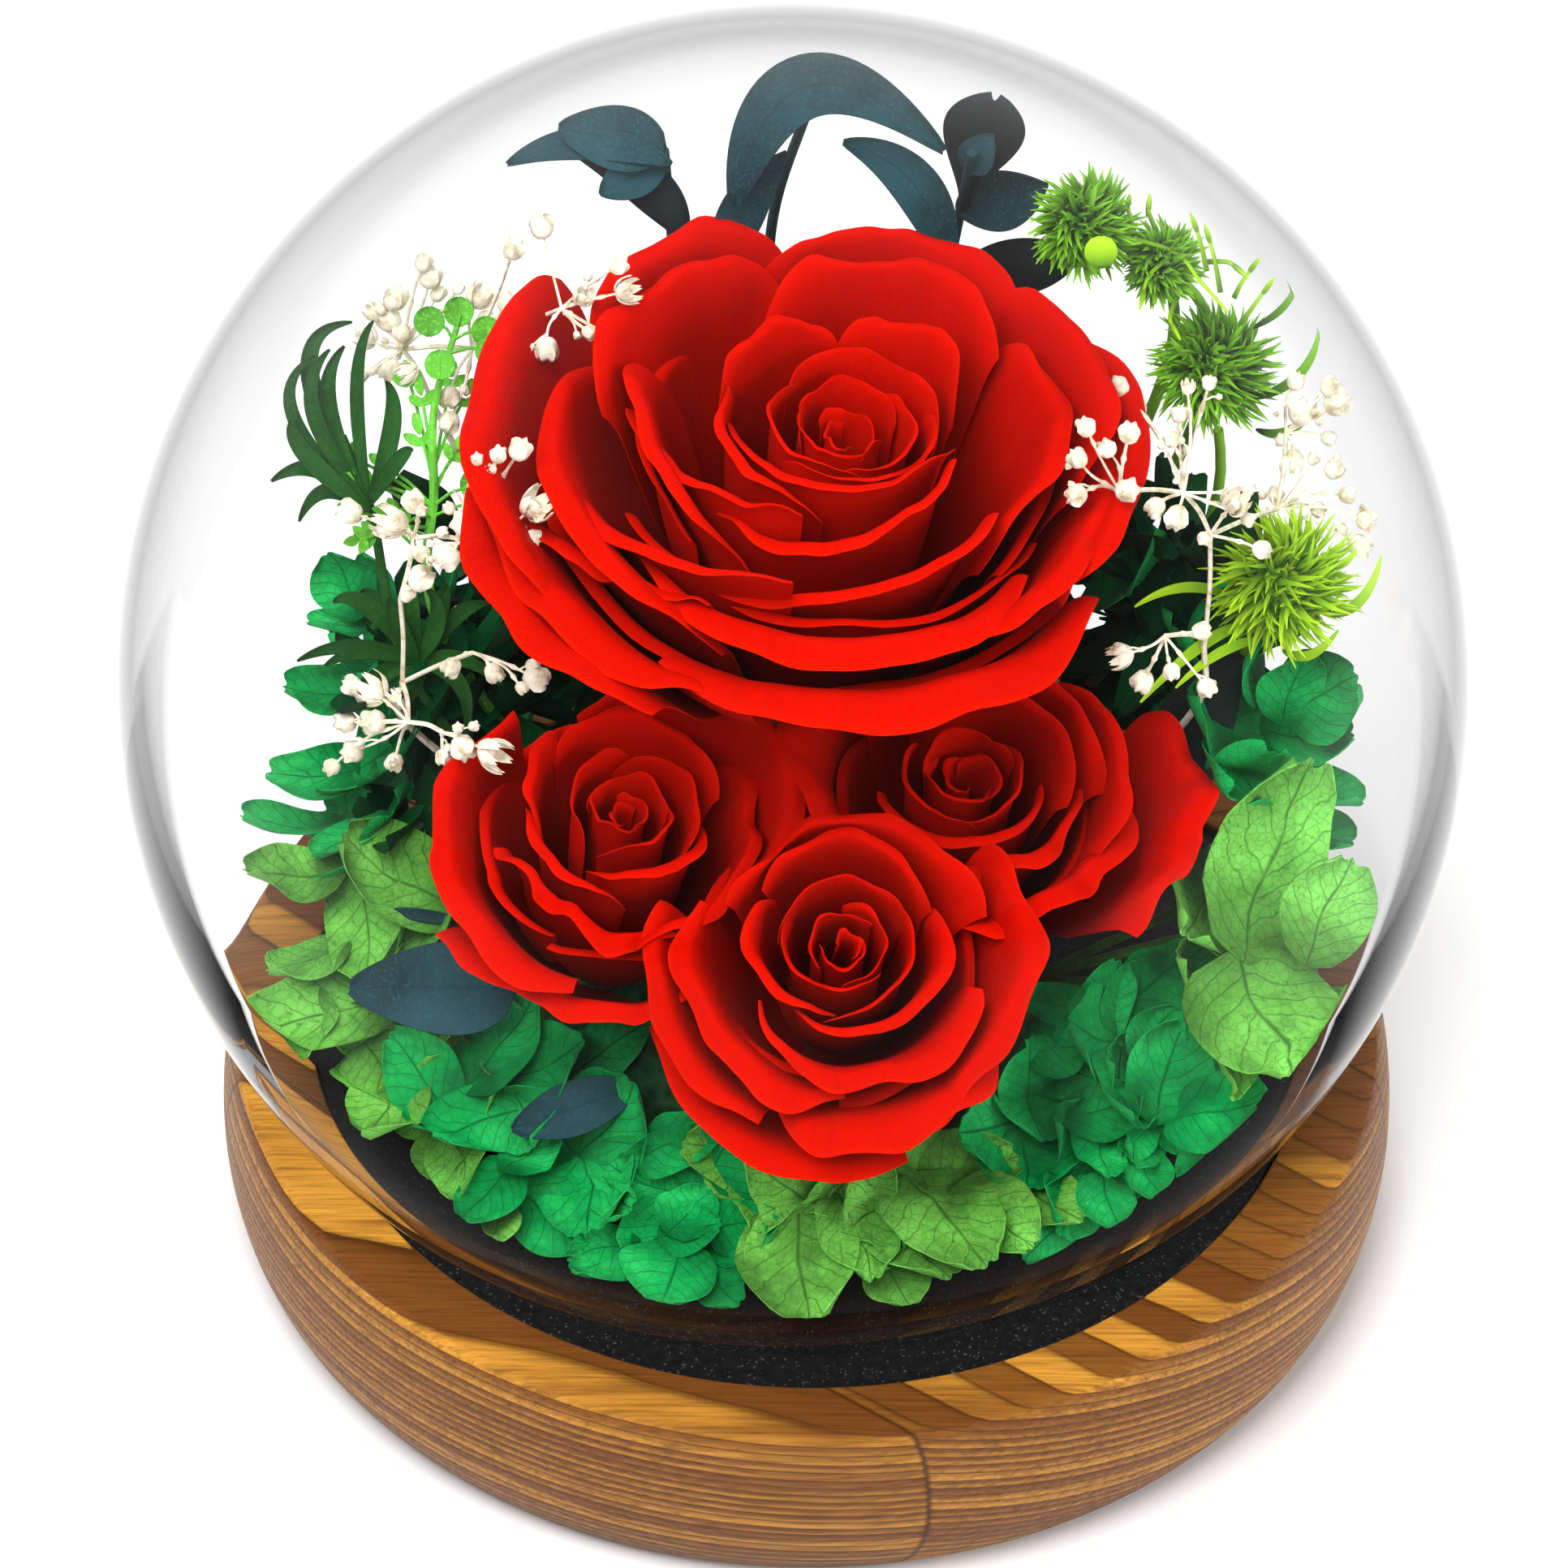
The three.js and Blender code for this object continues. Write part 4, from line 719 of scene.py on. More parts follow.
def sheet_faces(columns, rows):
    """Front and back of a sheet, and the rim that closes it all round."""
    def at(i, j, side):
        return side * (columns + 1) * (rows + 1) + j * (columns + 1) + i

    faces = []
    for j in range(rows):
        for i in range(columns):
            faces.append((at(i, j, 0), at(i + 1, j, 0), at(i + 1, j + 1, 0), at(i, j + 1, 0)))
            faces.append((at(i, j, 1), at(i, j + 1, 1), at(i + 1, j + 1, 1), at(i + 1, j, 1)))
        faces.append((at(0, j, 0), at(0, j + 1, 0), at(0, j + 1, 1), at(0, j, 1)))
        faces.append((at(columns, j, 0), at(columns, j, 1), at(columns, j + 1, 1),
                      at(columns, j + 1, 0)))
    for i in range(columns):
        faces.append((at(i, 0, 0), at(i, 0, 1), at(i + 1, 0, 1), at(i + 1, 0, 0)))
        faces.append((at(i, rows, 0), at(i + 1, rows, 0), at(i + 1, rows, 1), at(i, rows, 1)))
    return faces


def upright(centre):
    """place(angle, r, z) round a vertical axis."""
    def place(angle, r, z):
        return np.stack([centre[0] + r * np.cos(angle), centre[1] + r * np.sin(angle),
                         np.asarray(z, float) + 0 * np.asarray(r)], axis=-1)
    return place


def arc(r, z, radius, angles):
    """Profile points on an arc round (r, z), at angles from outward."""
    return [(r + radius * math.cos(a), z + radius * math.sin(a)) for a in angles]


def smooth_path(points, steps):
    """A Catmull-Rom path through points."""
    points = [np.asarray(p, float) for p in points]
    padded = [2 * points[0] - points[1]] + points + [2 * points[-1] - points[-2]]
    path = []
    for k in range(len(points) - 1):
        a, b, c, d = padded[k:k + 4]
        for t in np.linspace(0, 1, steps, endpoint=False):
            path.append(0.5 * (2 * b + (c - a) * t + (2 * a - 5 * b + 4 * c - d) * t ** 2
                               + (3 * b - a - 3 * c + d) * t ** 3))
    path.append(points[-1])
    return np.array(path)


def nearest(path, place):
    """The point of a path that is nearest to a place."""
    return path[int(np.argmin(np.linalg.norm(path - np.array(place, float), axis=1)))]


def unit(v):
    """The direction of a vector."""
    v = np.asarray(v, float)
    return v / np.linalg.norm(v)


def toned(colour, factor):
    """A colour made darker or lighter."""
    return tuple(min(1, c * factor) for c in colour)


def between(first, second, part):
    """A colour part of the way from the first to the second."""
    return tuple(a * (1 - part) + b * part for a, b in zip(first, second))


def new_object(name, data, *materials):
    """An object in the scene, round a mesh, a lamp or a camera."""
    piece = bpy.data.objects.new(name, data)
    bpy.context.scene.collection.objects.link(piece)
    for material in materials:
        data.materials.append(material)
    return piece


def join_mesh(piece, mesh, *materials):
    """Joins a mesh into a piece."""
    other = new_object(piece.name + "_more", mesh, *materials)
    with bpy.context.temp_override(active_object=piece, selected_editable_objects=[piece, other]):
        bpy.ops.object.join()


def keep_under_glass(piece):
    """What would reach the glass is pressed back under it."""
    points = np.empty(len(piece.data.vertices) * 3)
    piece.data.vertices.foreach_get("co", points)
    points = points.reshape(-1, 3)
    centre = np.array([0, 0, DOME_CENTRE * MM])
    reach = np.linalg.norm(points - centre, axis=1) / MM
    free = DOME_RADIUS - UNDER_GLASS
    pressed = np.where(reach > free, free + (reach - free) * PRESSED_SHARE, reach)
    points = centre + (points - centre) * (pressed / np.maximum(reach, TINY))[:, None]
    points[:, 2] = np.maximum(points[:, 2], (DISC_TOP + ABOVE_DISC) * MM)
    piece.data.vertices.foreach_set("co", points.ravel())
    piece.data.update()


def settle(piece, slot, *nodes):
    """The piece rides on the body and stands for its nodes, whose solids are hidden. The slot is not
    used.
    """
    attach(piece, BODY)
    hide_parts(*nodes)


# Geometry Nodes: copies of a small shape on points

def new_tree(name, **inputs):
    """A tree that takes and gives geometry, with more inputs by name and kind of socket."""
    tree = bpy.data.node_groups.new(name, "GeometryNodeTree")
    for label, kind in {"Geometry": "Geometry", **inputs}.items():
        tree.interface.new_socket(name=label.replace("_", " "), in_out="INPUT",
                                  socket_type="NodeSocket" + kind)
    tree.interface.new_socket(name="Geometry", in_out="OUTPUT", socket_type="NodeSocketGeometry")
    return tree, tree.nodes.new, tree.links.new


def scatter_tree():
    """Copies of a shape on points that carry a turn and a size, then bent by a smooth noise."""
    tree, node, link = new_tree("Copies on points", Shape="Object", Material="Material",
                                Crinkle="Float", Crinkle_size="Float")
    tree.interface.items_tree["Crinkle"].subtype = "DISTANCE"
    start, end = node("NodeGroupInput"), node("NodeGroupOutput")
    points = node("GeometryNodeMeshToPoints")
    shape = node("GeometryNodeObjectInfo")
    copies = node("GeometryNodeInstanceOnPoints")
    for name, socket in (("turn", "Rotation"), ("size", "Scale")):
        kept = node("GeometryNodeInputNamedAttribute")
        kept.data_type = "FLOAT_VECTOR"
        kept.inputs["Name"].default_value = name
        link(kept.outputs[0], copies.inputs[socket])
    real = node("GeometryNodeRealizeInstances")
    wave = node("ShaderNodeTexNoise")
    wave.inputs["Detail"].default_value = 1.0
    centred = node("ShaderNodeVectorMath")
    centred.operation = "SUBTRACT"
    centred.inputs[1].default_value = (0.5, 0.5, 0.5)
    scaled = node("ShaderNodeVectorMath")
    scaled.operation = "SCALE"
    moved = node("GeometryNodeSetPosition")
    paint = node("GeometryNodeSetMaterial")
    link(start.outputs["Geometry"], points.inputs["Mesh"])
    link(start.outputs["Shape"], shape.inputs["Object"])
    link(points.outputs[0], copies.inputs["Points"])
    link(shape.outputs["Geometry"], copies.inputs["Instance"])
    link(copies.outputs[0], real.inputs[0])
    link(start.outputs["Crinkle size"], wave.inputs["Scale"])
    link(wave.outputs["Color"], centred.inputs[0])
    link(centred.outputs[0], scaled.inputs[0])
    link(start.outputs["Crinkle"], scaled.inputs["Scale"])
    link(real.outputs[0], moved.inputs["Geometry"])
    link(scaled.outputs[0], moved.inputs["Offset"])
    link(moved.outputs[0], paint.inputs["Geometry"])
    link(start.outputs["Material"], paint.inputs["Material"])
    link(paint.outputs[0], end.inputs[0])
    return tree


def hair_tree():
    """Hairs that stand on a round core, joined with it."""
    tree, node, link = new_tree("Hairs on a ball", Hair="Object", Material="Material", Density="Float",
                                Lean="Float", Least_length="Float", Seed="Int")
    start, end = node("NodeGroupInput"), node("NodeGroupOutput")
    spread = node("GeometryNodeDistributePointsOnFaces")
    hair = node("GeometryNodeObjectInfo")
    lean = node("FunctionNodeRandomValue")
    lean.data_type = "FLOAT_VECTOR"
    back = node("ShaderNodeVectorMath")
    back.operation = "SCALE"
    back.inputs["Scale"].default_value = -1.0
    turned = node("FunctionNodeRotateRotation")
    turned.rotation_space = "LOCAL"
    long = node("FunctionNodeRandomValue")
    long.data_type = "FLOAT"
    long.inputs[3].default_value = 1.0
    copies = node("GeometryNodeInstanceOnPoints")
    both = node("GeometryNodeJoinGeometry")
    real = node("GeometryNodeRealizeInstances")
    paint = node("GeometryNodeSetMaterial")
    link(start.outputs["Geometry"], spread.inputs["Mesh"])
    link(start.outputs["Density"], spread.inputs["Density"])
    link(start.outputs["Seed"], spread.inputs["Seed"])
    link(start.outputs["Hair"], hair.inputs["Object"])
    link(spread.outputs["Points"], copies.inputs["Points"])
    link(hair.outputs["Geometry"], copies.inputs["Instance"])
    link(start.outputs["Lean"], lean.inputs[1])
    link(start.outputs["Lean"], back.inputs[0])
    link(back.outputs[0], lean.inputs[0])
    link(spread.outputs["Rotation"], turned.inputs[0])
    link(lean.outputs[0], turned.inputs[1])
    link(turned.outputs[0], copies.inputs["Rotation"])
    link(start.outputs["Least length"], long.inputs[2])
    link(long.outputs[1], copies.inputs["Scale"])
    link(start.outputs["Geometry"], both.inputs[0])
    link(copies.outputs[0], both.inputs[0])
    link(both.outputs[0], real.inputs[0])
    link(real.outputs[0], paint.inputs["Geometry"])
    link(start.outputs["Material"], paint.inputs["Material"])
    link(paint.outputs[0], end.inputs[0])
    return tree


def grown(name, carrier, tree, **inputs):
    """The plain mesh that a tree makes of a carrier mesh."""
    holder = new_object(name + "_carrier", carrier)
    modifier = holder.modifiers.new("grow", "NODES")
    modifier.node_group = tree
    for item in tree.interface.items_tree:
        if item.in_out == "INPUT" and item.name.replace(" ", "_") in inputs:
            modifier[item.identifier] = inputs[item.name.replace(" ", "_")]
    graph = bpy.context.evaluated_depsgraph_get()
    mesh = bpy.data.meshes.new_from_object(holder.evaluated_get(graph),
                                           preserve_all_data_layers=True, depsgraph=graph)
    holder.modifiers.clear()
    bpy.data.objects.remove(holder)
    if not mesh.polygons:
        raise RuntimeError(f"{name}: nothing was grown")
    mesh.name = name
    return mesh


def carrier(name, rows):
    """Points that carry a turn and a size. Rows: place, rotation matrix, size in three axes."""
    mesh = bpy.data.meshes.new(name)
    mesh.from_pydata([tuple(np.asarray(place) * MM) for place, _, _ in rows], [], [])
    turn = mesh.attributes.new("turn", "FLOAT_VECTOR", "POINT")
    turn.data.foreach_set("vector", [c for _, m, _ in rows for c in m.to_euler()])
    size = mesh.attributes.new("size", "FLOAT_VECTOR", "POINT")
    size.data.foreach_set("vector", [c * MM for _, _, s in rows for c in s])
    return mesh


def axes(side, along, normal):
    """The turn that takes X, Y and Z to these ways."""
    return Matrix((Vector(side), Vector(along), Vector(normal))).transposed()


# Finishes

class Finish:
    """A node material round one Principled shader."""

    def __init__(self, name):
        self.material = bpy.data.materials.new(name)
        self.material.use_nodes = True
        self.tree = self.material.node_tree
        self.shader = self.tree.nodes["Principled BSDF"]

    def feed(self, socket, value):
        if isinstance(value, bpy.types.NodeSocket):
            self.tree.links.new(value, socket)
        elif hasattr(socket.default_value, "__len__") and len(value) < len(socket.default_value):
            socket.default_value = (*value, 1)
        else:
            socket.default_value = value

    def set(self, **values):
        for name, value in values.items():
            self.feed(self.shader.inputs[name.replace("_", " ")], value)

    def fade(self, factor, other):
        """The Principled shader gives way to another one."""
        mixed = self.node("MixShader", {0: factor, 1: self.shader.outputs[0], 2: other.outputs[0]})
        self.feed(self.tree.nodes["Material Output"].inputs["Surface"], mixed.outputs[0])

    def node(self, kind, inputs=(), **settings):
        node = self.tree.nodes.new("ShaderNode" + kind)
        for key, value in settings.items():
            setattr(node, key, value)
        for key, value in dict(inputs).items():
            self.feed(node.inputs[key], value)
        return node

    def coordinates(self):
        return self.node("TexCoord").outputs["Object"]

    def on_sheet(self):
        """u, v and the face of a sheet that a point is on."""
        return self.parts(self.node("Attribute", attribute_name=SPACE).outputs["Vector"])

    def turned(self, vector, angle, scale):
        return self.node("Mapping", {"Vector": vector, "Rotation": (0, 0, angle),
                                     "Scale": scale}).outputs[0]

    def parts(self, vector):
        return self.node("SeparateXYZ", {0: vector}).outputs

    def joined(self, x, y, z):
        return self.node("CombineXYZ", {0: x, 1: y, 2: z}).outputs[0]

    def noise(self, vector, scale, detail=2.0, roughness=0.5):
        return self.node("TexNoise", {"Vector": vector, "Scale": scale, "Detail": detail,
                                      "Roughness": roughness}).outputs["Fac"]

    def math(self, operation, a, b=0.0):
        return self.node("Math", {0: a, 1: b}, operation=operation).outputs[0]

    def times(self, a, b):
        return self.math("MULTIPLY", a, b)

    def plus(self, a, b):
        return self.math("ADD", a, b)

    def minus(self, a, b):
        return self.math("SUBTRACT", a, b)

    def dot(self, vector, direction):
        return self.node("VectorMath", {0: vector, 1: direction},
                         operation="DOT_PRODUCT").outputs["Value"]

    def ramp(self, factor, *stops):
        node = self.node("ValToRGB", {0: factor})
        elements = node.color_ramp.elements
        while len(elements) < len(stops):
            elements.new(1.0)
        for element, (position, colour) in zip(elements, stops):
            element.position = position
            element.color = (*colour, 1) if hasattr(colour, "__len__") else (colour,) * 3 + (1,)
        return node.outputs[0]

    def range(self, value, low, high, to_low=0.0, to_high=1.0):
        return self.node("MapRange", {0: value, 1: low, 2: high, 3: to_low, 4: to_high}).outputs[0]

    def mix(self, factor, a, b):
        return self.node("Mix", {0: factor, 6: a, 7: b}, data_type="RGBA").outputs[2]

    def bump(self, height, strength, distance):
        return self.node("Bump", {"Height": height, "Strength": strength,
                                  "Distance": distance}).outputs[0]


def petal_finish(lit, shade_and_vein_red):
    """Velvety petal: painted shade at its foot, deeper soft patches, a painted rim highlight, faint
    long veins.
    """
    f = Finish("rose petal")
    where = f.coordinates()
    u, v, _ = f.on_sheet()
    veins = f.noise(f.joined(f.times(u, 26.0), f.times(v, 3.0), 0.0), 1.0, 3.0)
    patches = f.noise(where, 60.0, 3.0, 0.55)
    shade = f.plus(f.times(v, 0.9), f.times(patches, 0.25))
    # Painted highlight: the rim of the lip is painted this brighter red
    edge = (min(1, lit[0] * 1.18), lit[1] * 2.2 + 0.002, lit[2])
    # Painted shade: dark red at the petal's foot, rising to the lit red towards its rim
    colour = f.ramp(shade, (0.3, shade_and_vein_red), (0.68, between(lit, shade_and_vein_red, 0.3)), (0.95, lit), (1.0, lit))
    colour = f.mix(f.range(v, 0.975, 1.0, 0.0, 0.8), colour, edge)
    colour = f.mix(f.range(veins, 0.5, 0.75, 0.0, 0.18), colour, shade_and_vein_red)
    grain = f.noise(where, 900.0, 2.0)
    height = f.plus(f.times(veins, 0.7), f.times(grain, 0.3))
    f.set(Base_Color=colour, Roughness=f.range(patches, 0.3, 0.7, 0.5, 0.66),
          Sheen_Weight=0.04, Sheen_Roughness=0.35, Sheen_Tint=(1.0, 0.06, 0.02, 1),
          Specular_IOR_Level=0.07, Specular_Tint=(1.0, 0.2, 0.15, 1),
          Normal=f.bump(height, 0.25, 0.0006))
    return f.material


def sepal_finish(name, base, speckled):
    """Papery hydrangea sepal with a middle rib, side veins and a fine net between them."""
    f = Finish(name)
    where = f.coordinates()
    u, v, under = f.on_sheet()
    across = f.math("ABSOLUTE", u)
    wobble = f.noise(where, 220.0, 2.0)
    bent = f.plus(f.minus(f.times(v, 6.5), f.times(across, 2.2)), f.times(wobble, 1.1))
    side = f.math("ABSOLUTE", f.minus(f.math("FRACT", bent), 0.5))
    side_vein = f.range(side, 0.0, 0.07, 1.0, 0.0)
    rib = f.range(f.plus(across, f.times(f.minus(wobble, 0.5), 0.06)), 0.0, 0.05, 1.0, 0.0)
    net = f.node("TexVoronoi", {"Vector": where, "Scale": 620.0}, feature="DISTANCE_TO_EDGE")
    net_line = f.range(net.outputs["Distance"], 0.0, 0.09, 1.0, 0.0)
    vein = f.math("MAXIMUM", f.math("MAXIMUM", rib, f.times(side_vein, 0.75)), f.times(net_line, 0.34))
    patches = f.noise(where, 75.0, 4.0, 0.6)
    light = tuple(min(1, c * 1.5 + 0.02) for c in base)
    colour = f.ramp(patches, (0.3, toned(base, 0.32)), (0.5, base), (0.72, light))
    if speckled:
        specks = f.noise(where, 1500.0, 2.0)
        colour = f.mix(f.range(specks, 0.58, 0.72, 0.0, 0.55), colour, toned(base, 0.3))
    colour = f.mix(f.times(vein, 0.8), colour, toned(base, 0.16))
    colour = f.mix(f.times(under, 0.35), colour, light)
    # Painted shade: darker towards the foot, where the sepals overlap
    colour = f.mix(f.range(v, 0.0, 0.5, 0.75, 0.0), colour, toned(base, 0.14))
    relief = f.minus(f.times(f.noise(where, 260.0, 3.0), 0.5), f.times(vein, 0.6))
    f.set(Base_Color=colour, Roughness=f.range(patches, 0.3, 0.7, 0.52, 0.72),
          Specular_IOR_Level=0.14, Sheen_Weight=0.015, Normal=f.bump(relief, 0.5, 0.0005))
    return f.material


def leaf_finish(name, base, back):
    """Leathery leaf: fine bright speckle over a dusty blue-green, a paler rib, an underside painted
    dark as shade.
    """
    f = Finish(name)
    where = f.coordinates()
    u, _, under = f.on_sheet()
    dust = f.noise(where, 1900.0, 2.0, 0.7)
    patches = f.noise(where, 90.0, 3.0)
    colour = f.ramp(patches, (0.3, toned(base, 0.55)), (0.7, toned(base, 1.35)))
    colour = f.mix(f.range(dust, 0.52, 0.72, 0.0, 0.5), colour, toned(base, 2.6))
    rib = f.range(f.math("ABSOLUTE", u), 0.0, 0.06, 1.0, 0.0)
    colour = f.mix(f.times(rib, 0.35), colour, toned(base, 0.35))
    # Painted shade: the underside takes the darker back colour
    colour = f.mix(under, colour, back)
    f.set(Base_Color=colour, Roughness=f.range(dust, 0.3, 0.7, 0.48, 0.62), Specular_IOR_Level=0.35,
          Normal=f.bump(f.minus(dust, f.times(rib, 0.8)), 0.3, 0.0003))
    return f.material


def hair_finish(name, core, tip):
    """Fine hairs, painted dark at the core as shade and bright at their tips."""
    f = Finish(name)
    v = f.on_sheet()[1]
    patches = f.noise(f.coordinates(), 160.0, 2.0)
    colour = f.ramp(f.plus(v, f.times(f.minus(patches, 0.5), 0.5)),
                    (0.0, core), (0.5, between(core, tip, 0.5)), (1.0, tip))
    f.set(Base_Color=colour, Roughness=0.55, Specular_IOR_Level=0.3)
    return f.material


def bud_finish():
    """Dry cream flowerets, shaded into their folds, on pale twigs."""
    f = Finish("cream buds")
    mottled = f.noise(f.coordinates(), 500.0, 3.0, 0.6)
    colour = f.ramp(mottled, (0.3, (0.5, 0.42, 0.26)), (0.5, (0.82, 0.76, 0.6)),
                    (0.75, (0.92, 0.89, 0.8)))
    f.set(Base_Color=colour, Roughness=0.75, Specular_IOR_Level=0.25,
          Normal=f.bump(mottled, 0.4, 0.0005))
    return f.material


def foam_finish():
    """Porous green foam, painted dark in its pits as shade."""
    f = Finish("green foam")
    where = f.coordinates()
    pits = f.node("TexVoronoi", {"Vector": where, "Scale": 420.0}).outputs["Distance"]
    patches = f.noise(where, 90.0, 3.0)
    # Painted shade: darker in the pits
    colour = f.ramp(f.plus(f.times(pits, 0.6), f.times(patches, 0.4)),
                    (0.2, (0.006, 0.03, 0.01)), (0.6, (0.02, 0.09, 0.028)), (0.9, (0.05, 0.16, 0.05)))
    f.set(Base_Color=colour, Roughness=0.95, Specular_IOR_Level=0.1, Normal=f.bump(pits, 0.8, 0.0012))
    return f.material


def wood_finish(dark, gold, spacing):
    """Brushed, scorched softwood glued from three blocks, each with its own run of growth layers."""
    f = Finish("scorched wood")
    where = f.coordinates()

    def fibre(scale, detail, roughness=0.5):
        """Noise drawn out along the fibre."""
        return f.noise(f.turned(where, math.radians(35), scale), 1.0, detail, roughness)

    # Which glued block a point is in
    offset = f.minus(f.dot(where, (*ACROSS_BLOCKS, 0.0)), ACROSS_BLOCKS[0] * BASE_CENTRE * MM)
    front = f.math("LESS_THAN", offset, FRONT_SEAM)
    back = f.math("GREATER_THAN", offset, BACK_SEAM)
    # Growth layers, bent by slow noises that follow the fibre
    slow = fibre((7, 24, 24), 1.0, 0.4)
    wavy = fibre((28, 80, 90), 2.0)
    layers = f.mix(front, f.dot(where, (0.14, 0.22, 0.965)), f.dot(where, (0.028, 0.09, 0.996)))
    layers = f.mix(back, layers, f.dot(where, (-0.08, 0.29, 0.954)))
    bend = f.plus(f.times(slow, 2.4), f.times(wavy, 0.3))
    layers = f.plus(f.math("DIVIDE", layers, spacing), bend)
    # The back block's layers are counted on, so that its tones are its own
    layers = f.plus(layers, f.times(back, 7.37))
    phase = f.math("FRACT", layers)
    lot = f.node("TexWhiteNoise", {"W": f.minus(layers, phase)}, noise_dimensions="1D")
    lot = lot.outputs["Value"]
    # Fibre lines, pores and slow blotches
    fine = fibre((70, 1900, 1900), 3.0, 0.65)
    medium = fibre((18, 420, 620), 3.0)
    blotch = fibre((18, 40, 60), 3.0)
    warm = between(dark, gold, 0.16)
    scorched = toned(dark, 0.3)
    shade = f.plus(f.times(lot, 0.62), f.times(blotch, 0.5))
    tone = f.ramp(shade, (0.25, dark), (0.5, warm), (0.68, warm), (0.8, gold), (1.0, gold))
    late = f.ramp(phase, (0.0, 0.8), (0.06, 0.0), (0.78, 0.0), (0.9, 0.3), (0.97, 1.0))
    # Pale lines between the layers on the side
    side = f.range(f.parts(where)[2], BASE_HEIGHT * MM - 0.0022, BASE_HEIGHT * MM - 0.0005, 1.0, 0.0)
    pale = f.ramp(phase, (0.06, 0.0), (0.16, 1.0), (0.4, 0.7), (0.66, 0.0))
    pale = f.times(f.times(pale, side), f.range(lot, 0.0, 1.0, 0.15, 0.75))
    tone = f.mix(f.times(side, 0.55), tone, dark)
    colour = f.mix(f.times(late, 0.7), f.mix(pale, tone, gold), scorched)
    colour = f.mix(f.range(medium, 0.5, 0.7, 0.0, 0.6), colour, dark)
    colour = f.mix(f.range(fine, 0.42, 0.72, 0.0, 0.6), colour, scorched)
    seam = f.math("MINIMUM", f.math("ABSOLUTE", f.minus(offset, FRONT_SEAM)),
                  f.math("ABSOLUTE", f.minus(offset, BACK_SEAM)))
    colour = f.mix(f.range(seam, 0.0001, 0.0005, 0.8, 0.0), colour, scorched)
    relief = f.minus(f.times(fine, 0.4), f.times(late, 0.6))
    f.set(Base_Color=colour, Roughness=f.range(fine, 0.3, 0.7, 0.42, 0.62), Specular_IOR_Level=0.3,
          Normal=f.bump(relief, 0.12, 0.0003))
    return f.material


def disc_finish(colour):
    """Matte black board whose top has faint flecks, painted lighter as glints and glossier."""
    f = Finish("black disc")
    where = f.coordinates()
    cells = f.node("TexVoronoi", {"Vector": where, "Scale": 3200.0})
    glint_flecks = f.range(f.parts(cells.outputs["Color"])[0], 0.93, 0.99, 0.0, 1.0)
    grain = f.noise(where, 700.0, 3.0)
    base = f.ramp(grain, (0.3, toned(colour, 0.7)), (0.7, toned(colour, 1.5)))
    # Painted glints: the flecks are painted lighter, and are glossier
    f.set(Base_Color=f.mix(f.times(glint_flecks, 0.4), base, (0.1, 0.1, 0.105)),
          Roughness=f.range(glint_flecks, 0.0, 1.0, 0.55, 0.3), Specular_IOR_Level=0.35,
          Normal=f.bump(grain, 0.25, 0.0003))
    return f.material


def glass_finish(tint, ior):
    """Clear glass with a faint ripple, which mirrors less at its foot and low in front. Lamps and
    the light between the flowers pass straight in."""
    f = Finish("clear glass")
    where = f.coordinates()
    _, depth, height = f.parts(where)
    # From an IOR of 1.03 at the foot and low in front to plain glass above and behind
    foot = f.range(height, 0.056, 0.084)
    front = f.math("MAXIMUM", f.range(depth, -0.055, -0.020), f.range(height, 0.090, 0.135))
    f.set(Base_Color=(*tint, 1), Roughness=0.0, Transmission_Weight=1.0, IOR=ior,
          Specular_Tint=(0.08, 0.08, 0.08, 1), Normal=f.bump(f.noise(where, 14.0, 1.0), 0.04, 0.002))
    f.set(IOR=f.range(f.math("MINIMUM", foot, front), 0.0, 1.0, 1.03, ior))
    path = f.node("LightPath").outputs
    f.fade(f.math("MAXIMUM", path["Is Shadow Ray"], path["Is Diffuse Ray"]),
           f.node("BsdfTransparent", {"Color": (1, 1, 1, 1)}))
    return f.material


def floor_finish(colour, inner):
    """Pale floor, dim in what is mirrored under the glass, and ahead of it in all that is mirrored."""
    f = Finish("studio floor")
    where = f.coordinates()
    f.set(Base_Color=f.ramp(f.noise(where, 3.0, 2.0), (0.3, toned(colour, 0.985)), (0.7, colour)),
          Roughness=0.9, Specular_IOR_Level=0.1)
    path = f.node("LightPath").outputs
    ahead = f.range(f.parts(where)[1], -0.11, 0.0, 0.4, 0.15)
    inside = f.math("MAXIMUM", f.math("MINIMUM", path["Transmission Depth"], 1), ahead)
    f.fade(f.times(f.math("MINIMUM", path["Glossy Depth"], 1), inside),
           f.node("BsdfDiffuse", {"Color": (inner, inner, inner, 1)}))
    return f.material


# Roses

def rose_place(rose):
    """place(angle, r, z) round a rose's axis, from its seat."""
    axis = unit(rose["axis"])
    x = unit(np.array([1.0, 0, 0]) - axis * axis[0])
    y = np.cross(axis, x)
    seat = np.array(rose["seat"], float)

    def place(angle, r, z):
        angle, r, z = np.broadcast_arrays(angle, r, z)
        return (seat + (r * np.cos(angle))[..., None] * x + (r * np.sin(angle))[..., None] * y
                + np.asarray(z)[..., None] * axis)
    return place


def bezier(a, b, c, d, t):
    """A cubic curve from a to d."""
    s = 1 - t
    return s * s * s * a + 3 * s * s * t * b + 3 * s * t * t * c + t * t * t * d


